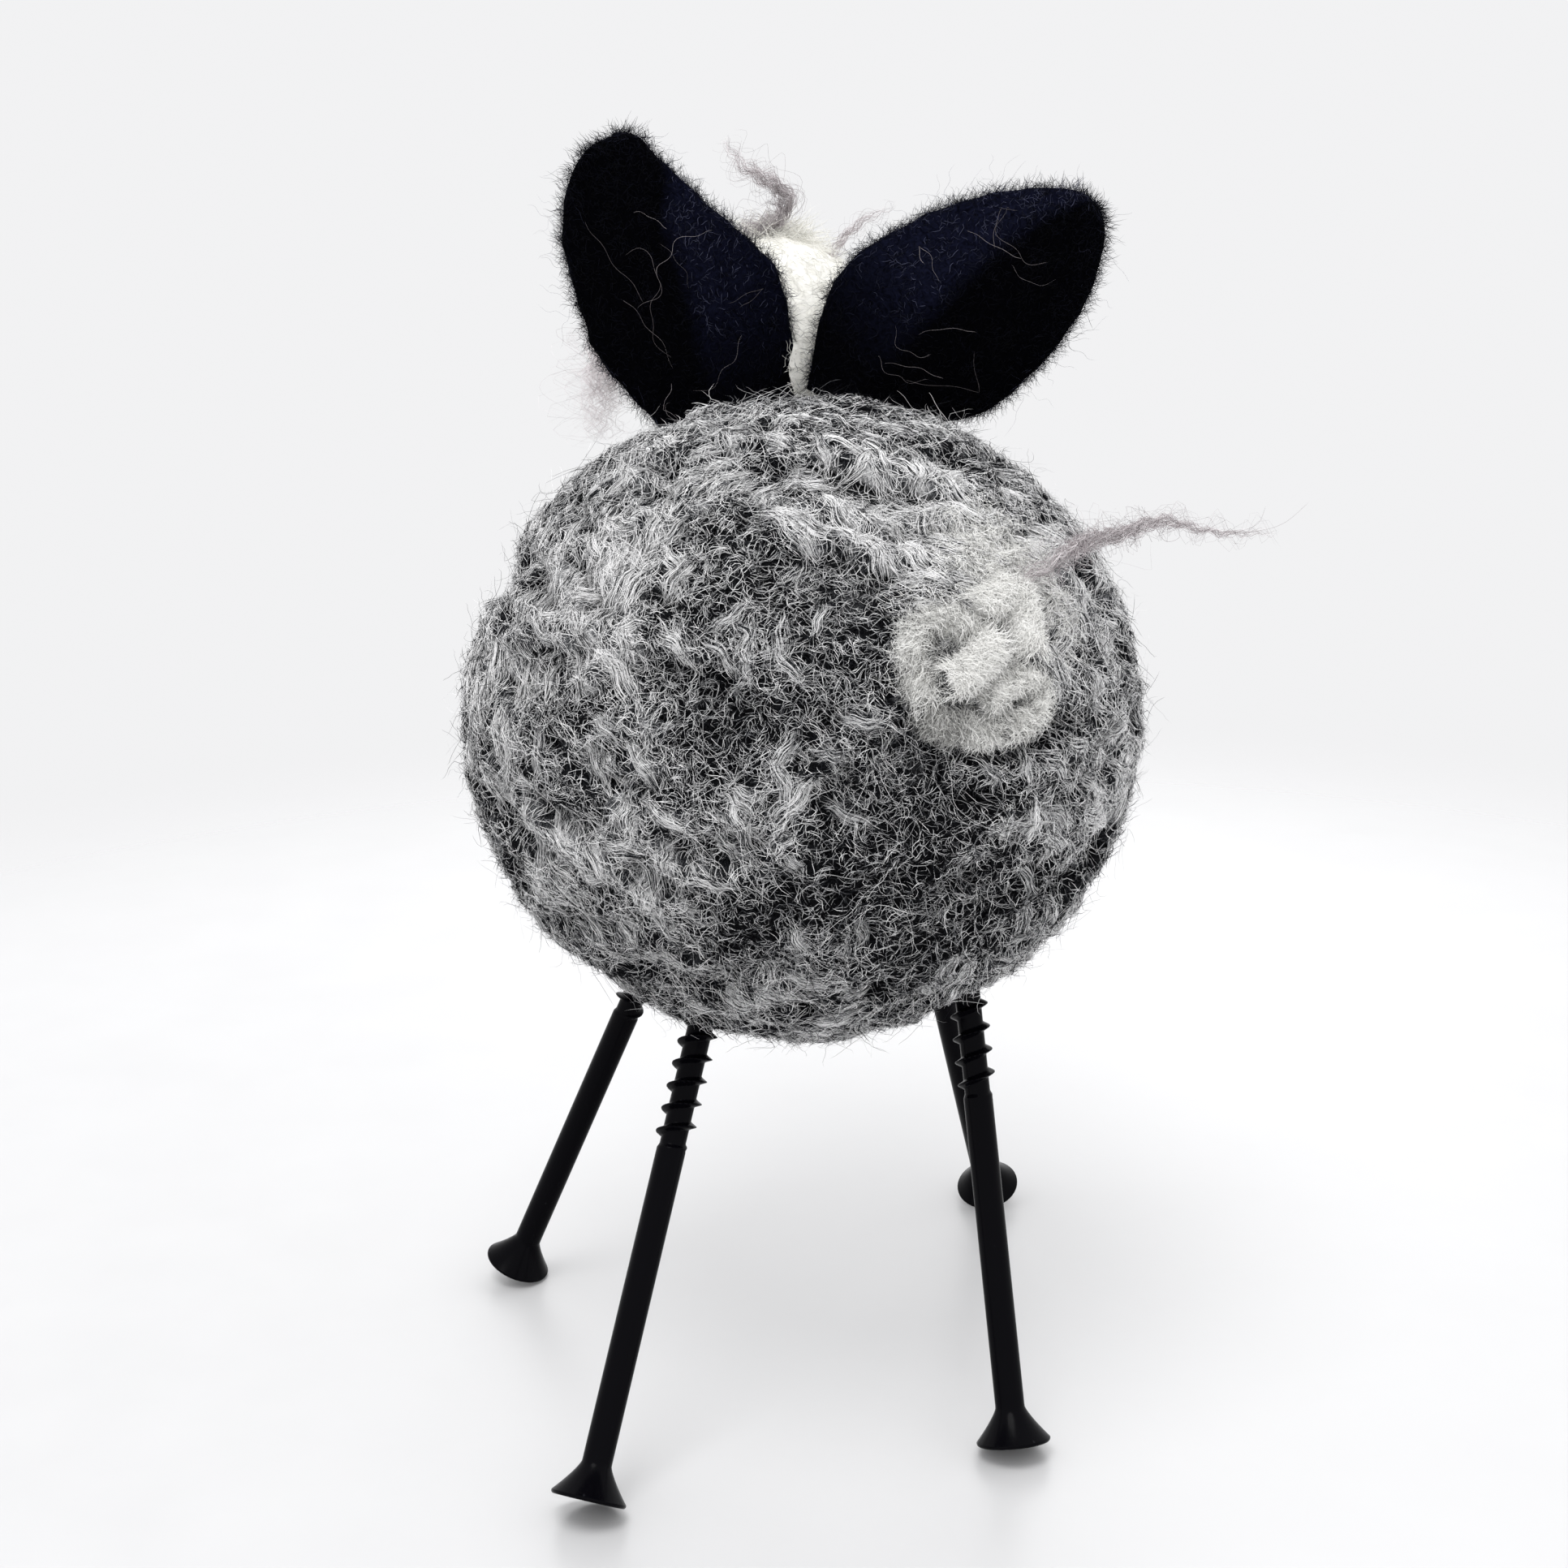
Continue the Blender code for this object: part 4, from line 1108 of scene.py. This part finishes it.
def grid_faces(rows, columns):
    """Quads of a closed sphere-like grid with a point at each end, as corners and starts."""
    faces = [(0, 1 + (j + 1) % columns, 1 + j) for j in range(columns)]
    for i in range(rows - 1):
        low, high = 1 + i * columns, 1 + (i + 1) * columns
        for j in range(columns):
            k = (j + 1) % columns
            faces.append((low + j, low + k, high + k, high + j))
    low, last = 1 + (rows - 1) * columns, 1 + rows * columns
    faces += [(last, low + j, low + (j + 1) % columns) for j in range(columns)]
    return np.array([c for f in faces for c in f]), np.cumsum([0] + [len(f) for f in faces[:-1]])


def add_head():
    """The stuffed felt head and its fluff."""
    rows, columns = 90, 120
    polar = (np.arange(rows) + 1) * math.pi / (rows + 1)
    around = np.arange(columns) * 2 * math.pi / columns
    p, a = np.meshgrid(polar, around, indexing="ij")
    ends = [egg(np.array([0.0]), np.array([0.0])), egg(np.array([0.0]), np.array([math.pi]))]
    points = np.concatenate((ends[0], egg(a, p).reshape(-1, 3), ends[1]))
    middle = HEAD_CENTRE
    bumps = np.array([noise.fractal(Vector((q - middle) * 220), 0.9, 2.0, 4) for q in points])
    seam = np.exp(-((points[:, 0] - middle[0]) / (0.5 * MM)) ** 2)
    points += unit(points - middle) * (bumps * 0.35 * MM - seam * 0.25 * MM)[:, None]
    corners, starts = grid_faces(rows, columns)
    head = make_object("head_skin", points, corners, starts, CREAM_FELT, "head")
    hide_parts("head_felt")
    count = 6500
    a, p = RNG.random(count) * 6.28, np.arccos(RNG.uniform(-1, 1, size=count))
    add_coat("head_fluff", egg(a, p, 0.1 * MM), unit(egg(a, p) - middle), (0.9 * MM, 2.6 * MM), 0.5,
             CREAM_FELT_FIBRE,
             "head", 0.03 * MM, RNG.uniform(0.2, 1.0, size=count))
    count = 1500
    a, p = RNG.normal(size=count) * 0.28, math.pi / 2 + 0.35 + RNG.normal(size=count) * 0.16
    add_coat("head_crown", egg(a, p, 0.1 * MM), unit(egg(a, p) - middle), (1.5 * MM, 4.5 * MM), 0.95,
             CREAM_FELT_FIBRE, "head", 0.03 * MM, RNG.uniform(0.6, 1.0, size=count), steps=8)


def add_coat(name, roots, normals, lengths, stand, material, body, radius, shades, steps=5,
             curl=0.13 * MM):
    """Short curly fibres on a felt surface: they lie along it and stand off it by a share of their length."""
    count = len(roots)
    heading = unit(np.cross(normals, RNG.normal(size=(count, 3))))
    sideways = np.cross(normals, heading)
    length = RNG.uniform(*lengths, size=count)[:, None, None]
    share = np.linspace(0, 1, steps)[None, :, None]
    phase = RNG.random((count, 1, 1)) * 6.28
    wave = (np.sin(share * length / (7 * curl) * 6.28 + phase) - np.sin(phase)) * curl
    bend = RNG.normal(size=(count, 1, 1)) * 0.5 * length * share ** 2
    lift = (RNG.random((count, 1, 1)) ** 1.6) * stand * length * share - 0.05 * MM
    paths = (roots[:, None] + heading[:, None] * length * share + sideways[:, None] * (wave + bend)
             + normals[:, None] * lift)
    add_fibres(name, paths, radius * RNG.uniform(0.7, 1.3, size=count), shades, normals[:, None], material,
               body)


def ear_half_width(name, t):
    """Half the width of a folded ear at share t of its length."""
    ear = EARS[name]
    swell = (ear["base_share"]
             + (1 - ear["base_share"]) * np.sin(math.pi / 2 * np.minimum(t / ear["widest"], 1)))
    past = np.clip((t - ear["widest"]) / (1.005 - ear["widest"]), 0, 1)
    return ear["half_width"] * swell * (1 - past ** ear["power"]) ** ear["bluntness"]


def ear_fold(name, u, t):
    """How far across an ear a point lies from its fold, in half widths, and how far that part leans."""
    ear = EARS[name]
    sway = ear["lean"] * np.sin(math.pi * t ** 2.5)
    fold = (ear["fold"] + ear["run"] * t - sway) / ear["half_width"]
    return (u - fold) / (1 + np.abs(fold)), sway


def ear_lit_side(name, u, t):
    """From 0 where the felt stays black to 1 where it is painted navy: painted light on the side of the fold
    that faces up, faded back to black near the base and, on the left ear, near the tip as painted shade.
    """
    from_fold, _ = ear_fold(name, u, t)
    from_fold = from_fold * EARS[name]["lit_side"] - EARS[name]["shaded_tip"] * np.clip((t - 0.70) / 0.18, 0, 1)
    return np.clip(0.5 + from_fold / 0.16, 0, 1) * np.clip((t - 0.12) / 0.3, 0, 1)


def ear_surface(name, u, t, off):
    """Points on an ear: u from -1 to 1 across it, t from 0 to 1 along it, off to the back of its middle
    layer."""
    ear = EARS[name]
    up = unit(np.array(ear["reach"]))
    across = unit(np.cross((0, 1, 0), up))
    forward = np.cross(up, across)
    half = ear_half_width(name, t)
    from_fold, sway = ear_fold(name, u, t)
    bow = EAR_FOLD_DEPTH * (np.sqrt(from_fold ** 2 + 0.012) - 0.11) / 0.9 * (half / ear["half_width"]) ** 0.7
    slope = EAR_FOLD_DEPTH / ear["half_width"] * from_fold / np.sqrt(from_fold ** 2 + 0.012)
    normal = unit(-forward + across * slope[..., None])
    curl = 0.8 * MM * np.sin(t * 5.2 + u * 1.4) * np.abs(u) ** 2
    sunk = (ear["drop"][0] + ear["drop"][1] * u) * (1 - t) ** 3
    ripple = 0.07 * MM * (np.sin(t * 31 + u * 3) + np.sin(t * 57 - u * 2)) * u ** 5
    aside = u * half + sway + ear["slide"] * (1 - t) ** 3 + ripple
    point = (np.array(ear["base"]) + up * (t * ear["length"] - sunk)[..., None]
             + across * aside[..., None] + forward * (bow + curl)[..., None])
    return point + normal * off[..., None], normal


def add_ear(name):
    """A folded leaf of felt with thick soft rims, its fluff, and pale stray fibres caught on it."""
    columns, rows = 61, 81
    length, half_width = EARS[name]["length"], EARS[name]["half_width"]
    u, t = np.meshgrid(np.linspace(-1, 1, columns), np.linspace(0, 1, rows), indexing="xy")
    rim = np.clip((1 - np.abs(u)) * ear_half_width(name, t) / (0.9 * MM), 0, 1)
    rim = np.minimum(rim, np.clip((1 - t) * length / (0.9 * MM), 0, 1))
    thick = EAR_THICKNESS / 2 * (0.25 + 0.75 * np.sqrt(1 - (1 - rim) ** 2))
    layers = []
    for sign in (1, -1):
        points, normals = ear_surface(name, u, t, sign * thick)
        lumps = np.array([noise.fractal(Vector(q * 330 + sign), 0.9, 2.0, 4) for q in points.reshape(-1, 3)])
        points = points + sign * normals * (lumps * 0.16 * MM).reshape(rows, columns, 1)
        layers.append(points.reshape(-1, 3))
    corners, size = [], rows * columns
    for i in range(rows - 1):
        for j in range(columns - 1):
            a, b, c, d = (i * columns + j, i * columns + j + 1, (i + 1) * columns + j + 1,
                          (i + 1) * columns + j)
            corners += [(a, b, c, d), (a + size, d + size, c + size, b + size)]
    edge = ([j for j in range(columns)] + [i * columns + columns - 1 for i in range(1, rows)]
            + [(rows - 1) * columns + j for j in range(columns - 2, -1, -1)]
            + [i * columns for i in range(rows - 2, 0, -1)])
    for a, b in zip(edge, edge[1:] + edge[:1]):
        corners.append((b, a, a + size, b + size))
    loops = np.array(corners).ravel()
    # Painted light: the side of the fold that faces up is painted navy, the rest of the felt stays black
    shade = ear_lit_side(name, u, t).ravel()
    ear = make_object(name + "_leaf", np.concatenate(layers), loops, np.arange(len(corners)) * 4, BLACK_FELT,
                      name,
                      np.concatenate((shade, shade)))
    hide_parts(name)
    coat_ear(name)


def coat_ear(name):
    """Fluff on both faces of an ear and along its rim, and the pale fibres."""
    count = 7000
    u = np.clip(RNG.uniform(-1.0, 1.0, size=count), -0.99, 0.99)
    t = RNG.random(count) ** 0.85
    sign = np.where(RNG.random(count) < 0.68, 1.0, -1.0)
    roots, normals = ear_surface(name, u, t, sign * EAR_THICKNESS * 0.47)
    # Painted light: the fluff is lighter, towards navy, on the side of the fold that faces up
    shades = RNG.uniform(0.0, 0.3, size=count) + 0.95 * ear_lit_side(name, u, t) * RNG.random(count) ** 1.5
    add_coat(name + "_fluff", roots, normals * sign[:, None], (0.5 * MM, 1.6 * MM), 0.45, BLACK_FIBRE, name,
             0.027 * MM, np.clip(shades, 0, 1))
    count = 4200
    t = np.concatenate((RNG.uniform(0.0, 0.995, size=count), RNG.uniform(0.97, 1.0, size=count // 6)))
    u = np.concatenate((np.sign(RNG.normal(size=count)), RNG.uniform(-1, 1, size=count // 6)))
    roots, normals = ear_surface(name, u, t, np.zeros(len(t)))
    inner, _ = ear_surface(name, u * 0.8, np.minimum(t, 0.9), np.zeros(len(t)))
    outward = unit(roots - inner)
    around = RNG.normal(size=len(t)) * 0.7
    outward = unit(outward * np.cos(around)[:, None] + normals * np.sin(around)[:, None])
    add_coat(name + "_rim", roots, outward, (0.4 * MM, 1.9 * MM), 0.85, BLACK_FIBRE, name,
             0.022 * MM,
             RNG.uniform(0.0, 0.6, size=len(t)), steps=6, curl=0.19 * MM)
    few = slice(0, 240)
    add_coat(name + "_whiskers", roots[few], outward[few], (1.5 * MM, 5.0 * MM), 0.7, BLACK_FIBRE, name,
             0.011 * MM, RNG.uniform(0.5, 1.0, size=240), steps=14, curl=0.30 * MM)
    add_pale_strays(name)


def add_pale_strays(name, count=10):
    """Pale wool fibres that lie on the back of an ear in loose curves."""
    steps = 26
    u, t = RNG.uniform(-0.65, 0.65, size=count), RNG.uniform(0.14, 0.8, size=count)
    heading = RNG.random(count) * 6.28
    length = RNG.uniform(4.0, 15.0, size=count) * MM
    curve = RNG.normal(size=count) * np.where(RNG.random(count) < 0.4, 0.12, 0.05)
    swing = RNG.uniform(0.05, 0.3, size=count)
    phase = RNG.random(count) * 6.28
    us, ts = [u], [t]
    for step in range(steps - 1):
        heading = heading + curve * (0.3 + 1.5 * step / steps) + swing * np.sin(step * 0.55 + phase)
        heading = np.where(u * np.cos(heading) > 0.74 * np.abs(np.cos(heading)), math.pi - heading, heading)
        heading = np.where((t - 0.5) * np.sin(heading) > 0.38 * np.abs(np.sin(heading)), -heading, heading)
        u = np.clip(u + np.cos(heading) * length / steps / EARS[name]["half_width"], -0.97, 0.97)
        t = np.clip(t + np.sin(heading) * length / steps / EARS[name]["length"], 0.02, 0.97)
        us.append(u)
        ts.append(t)
    us, ts = np.stack(us, axis=1), np.stack(ts, axis=1)
    off = EAR_THICKNESS / 2 + RNG.uniform(0.1, 0.6, size=(count, 1)) * MM * np.ones((1, steps))
    paths, normals = ear_surface(name, us, ts, off)
    add_fibres(name + "_pale_fibres", paths, RNG.uniform(0.007, 0.017, size=count) * MM,
               RNG.uniform(0.0, 0.6, size=count), normals[:, :1], ROVING_FIBRE, name)


def add_curls():
    for name, (radius, count, shade, blunt, path) in CURLS.items():
        add_tuft(name, path, radius, count, "head", name, blunt, shade)


# ---------------------------------------------------------------- screws

def screw_radius(z, angle):
    """The screw's outline at heights z up from the flat of the head, round its axis."""
    flare = np.clip((z - RIM_HEIGHT) / CONE_HEIGHT, 0, 1)
    cone = SHANK_RADIUS + (HEAD_RADIUS - SHANK_RADIUS) * (1 - flare) ** 1.25
    rim = HEAD_RADIUS - 0.18 * MM * np.clip(1 - z / (0.25 * MM), 0, 1) ** 2
    smooth = np.where(z < RIM_HEIGHT, rim, cone)
    run_in = np.clip((z - SHANK_END) / (0.5 * MM), 0, 1)
    root = SHANK_RADIUS + (ROOT_RADIUS - SHANK_RADIUS) * run_in
    point = np.clip((SCREW_LENGTH - z) / TIP_LENGTH, 0.03, 1)
    phase = (z / THREAD_PITCH - angle / (2 * math.pi)) % 1
    crest = np.clip(1 - np.abs(phase - 0.5) / 0.17, 0, 1)
    height = (THREAD_RADIUS - ROOT_RADIUS) * np.clip((z - SHANK_END) / (1.6 * MM), 0, 1)
    threaded = (root + height * np.minimum(crest * 1.15, 1)) * point
    return np.where(z > SHANK_END, threaded, smooth)


def screw_mesh():
    """One whole screw, from the flat of its head at the origin up +Z to its tip, with no recess yet."""
    heights = np.concatenate((
        (np.array((0.0, 0.05, 0.12, 0.2, 0.3, 0.4)) * MM), np.linspace(0.5, 4.2, 16) * MM,
        np.linspace(5, 38.2, 20) * MM, np.arange(38.6, 62, 0.12) * MM, np.arange(62.2, 88.9, 0.3) * MM))
    angles = np.arange(SCREW_SIDES) * 2 * math.pi / SCREW_SIDES
    z, a = np.meshgrid(heights, angles, indexing="ij")
    r = screw_radius(z, a)
    points = np.stack((r * np.cos(a), r * np.sin(a), z), axis=-1).reshape(-1, 3)
    points = np.concatenate(([(0, 0, 0)], points, [(0, 0, SCREW_LENGTH)]))
    corners, starts = grid_faces(len(heights), SCREW_SIDES)
    mesh = bpy.data.meshes.new("screw")
    mesh.from_pydata(points.tolist(), [],
                     [corners[a:b].tolist() for a, b in zip(starts, [*starts[1:], len(corners)])])
    mesh.update()
    return mesh


def cut_recess(screw):
    """Cuts the cross recess into the flat of the head with a tapered cross."""
    work = bmesh.new()
    for quarter in range(2):
        cube = bmesh.ops.create_cube(work, size=1.0)["verts"]
        for vertex in cube:
            deep = vertex.co.z > 0
            vertex.co.x *= (2.2 if deep else 4.4) * MM
            vertex.co.y *= (0.7 if deep else 1.1) * MM
            vertex.co.z = 2.4 * MM if deep else -0.5 * MM
        bmesh.ops.rotate(work, verts=cube, cent=(0, 0, 0),
                         matrix=Matrix.Rotation(quarter * math.pi / 2, 3, "Z"))
    mesh = bpy.data.meshes.new("recess")
    work.to_mesh(mesh)
    work.free()
    cutter = bpy.data.objects.new("recess", mesh)
    bpy.context.scene.collection.objects.link(cutter)
    cut = screw.modifiers.new("recess", "BOOLEAN")
    cut.object, cut.operation, cut.use_self = cutter, "DIFFERENCE", True
    bpy.context.view_layer.update()
    done = bpy.data.meshes.new_from_object(screw.evaluated_get(bpy.context.evaluated_depsgraph_get()))
    screw.modifiers.clear()
    bpy.data.objects.remove(cutter)
    return done


def add_screws():
    """The four screws, each on its own joint's axis with the CAD head's flat as its foot."""
    pattern = bpy.data.objects.new("screw_pattern", screw_mesh())
    bpy.context.scene.collection.objects.link(pattern)
    mesh = cut_recess(pattern)
    bpy.data.objects.remove(pattern)
    mesh.shade_smooth()
    mesh.set_sharp_from_angle(angle=math.radians(38))
    mesh.materials.clear()
    mesh.materials.append(screw_material())
    for joint in frame["joints"]:
        if not joint["name"].endswith("screw_turn"):
            continue
        leg = joint["child"]
        axis = Vector(joint["axis"]).normalized()
        at = Vector(joint["pos_m"])
        foot = min((v.co - at).dot(axis) for v in frame["nodes"][leg].data.vertices)
        screw = bpy.data.objects.new(leg + "_screw", mesh.copy())
        bpy.context.scene.collection.objects.link(screw)
        screw.matrix_world = (Matrix.Translation(at + axis * foot)
                              @ axis.to_track_quat("Z", "Y").to_matrix().to_4x4())
        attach(screw, leg)
        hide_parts(leg)


# ---------------------------------------------------------------- the pieces that stay CAD solids

def finish_cad_nodes():
    """Materials for the CAD solids that show or lie inside."""
    bead, tree, shader = new_material("black_bead", 0.08, specular=0.5, coat=0.6,
                                      colour=(0.004, 0.004, 0.005))
    tree.links.new(ramp(tree, noise_value(tree, 500.0),
                        ((0.3, (0.003, 0.003, 0.004)), (0.8, (0.008, 0.008, 0.01)))),
                   shader.inputs["Base Color"])
    birch, tree, shader = new_material("birch", 0.6, colour=(0.6, 0.45, 0.28))
    grain = noise_value(tree, 260.0, 6.0, distortion=3.0)
    tree.links.new(ramp(tree, grain, ((0.3, (0.48, 0.33, 0.19)), (0.7, (0.68, 0.52, 0.34)))),
                   shader.inputs["Base Color"])
    add_bump(tree, shader, grain, 0.05 * MM)
    core = felt_material("core_wool", ((0.45, 0.42, 0.36), (0.70, 0.67, 0.60)), 500.0, 0.3 * MM)
    filling = felt_material("stuffing", ((0.70, 0.69, 0.66), (0.90, 0.89, 0.87)), 400.0, 0.4 * MM)
    thread = felt_material("nose_thread", ((0.004, 0.004, 0.005), (0.03, 0.03, 0.033)), 1800.0, 0.1 * MM)
    for name, material in (("eye_left", bead), ("eye_right", bead), ("neck_peg", birch), ("core_ball", core),
                           ("head_stuffing", filling), ("nose_stitches", thread)):
        node = frame["nodes"][name]
        node.data.materials.clear()
        node.data.materials.append(material)


# ---------------------------------------------------------------- floor, light and camera

def add_stage():
    bpy.ops.mesh.primitive_circle_add(vertices=128, radius=6.0, fill_type="NGON")
    floor = bpy.context.object
    floor.name = "floor"
    floor.data.materials.append(floor_material())


def add_light(name, place, target, size, power, colour=(1, 1, 1)):
    data = bpy.data.lights.new(name, "AREA")
    data.shape, data.size, data.energy, data.color = "DISK", size, power, colour
    light = bpy.data.objects.new(name, data)
    light.location = place
    light.rotation_euler = (Vector(target) - Vector(place)).to_track_quat("-Z", "Y").to_euler()
    bpy.context.scene.collection.objects.link(light)


def add_lights():
    world = bpy.data.worlds.new("studio")
    bpy.context.scene.world = world
    world.use_nodes = True
    tree = world.node_tree
    background = tree.nodes["Background"]
    background.inputs["Color"].default_value = (0.99, 0.99, 1.0, 1)
    seen = add_node(tree, "ShaderNodeMapRange")
    tree.links.new(add_node(tree, "ShaderNodeLightPath").outputs["Is Camera Ray"], seen.inputs["Value"])
    seen.inputs["To Min"].default_value = 1.23
    seen.inputs["To Max"].default_value = 0.895
    tree.links.new(seen.outputs["Result"], background.inputs["Strength"])
    middle = (0, 0, 0.08)
    add_light("key", (-0.14, -0.30, 0.95), middle, 0.5, 4.0)
    add_light("back", (0.12, 0.75, 0.60), middle, 0.7, 2.3)


def add_camera():
    data = bpy.data.cameras.new("camera")
    data.lens, data.sensor_width = 58.235, 36.0
    camera = bpy.data.objects.new("camera", data)
    forward, up = Vector((0.0504, 0.9626, -0.2661)).normalized(), Vector((0.0371, 0.2644, 0.9637))
    right = forward.cross(up).normalized()
    up = right.cross(forward)
    turn = Matrix((right, up, -forward)).transposed()
    camera.matrix_world = Matrix.Translation((-0.02033, -0.29053, 0.14903)) @ turn.to_4x4()
    bpy.context.scene.collection.objects.link(camera)
    bpy.context.scene.camera = camera


# ---------------------------------------------------------------- all together

def build():
    add_camera()
    add_lights()
    add_stage()
    bpy.context.scene.view_settings.view_transform = "Standard"
    add_screws()
    skin = build_ball(wind_ball())
    add_fuzz(skin)
    add_pale_fluff(skin)
    add_tail()
    add_head()
    for name in EARS:
        add_ear(name)
    add_curls()
    finish_cad_nodes()


build()
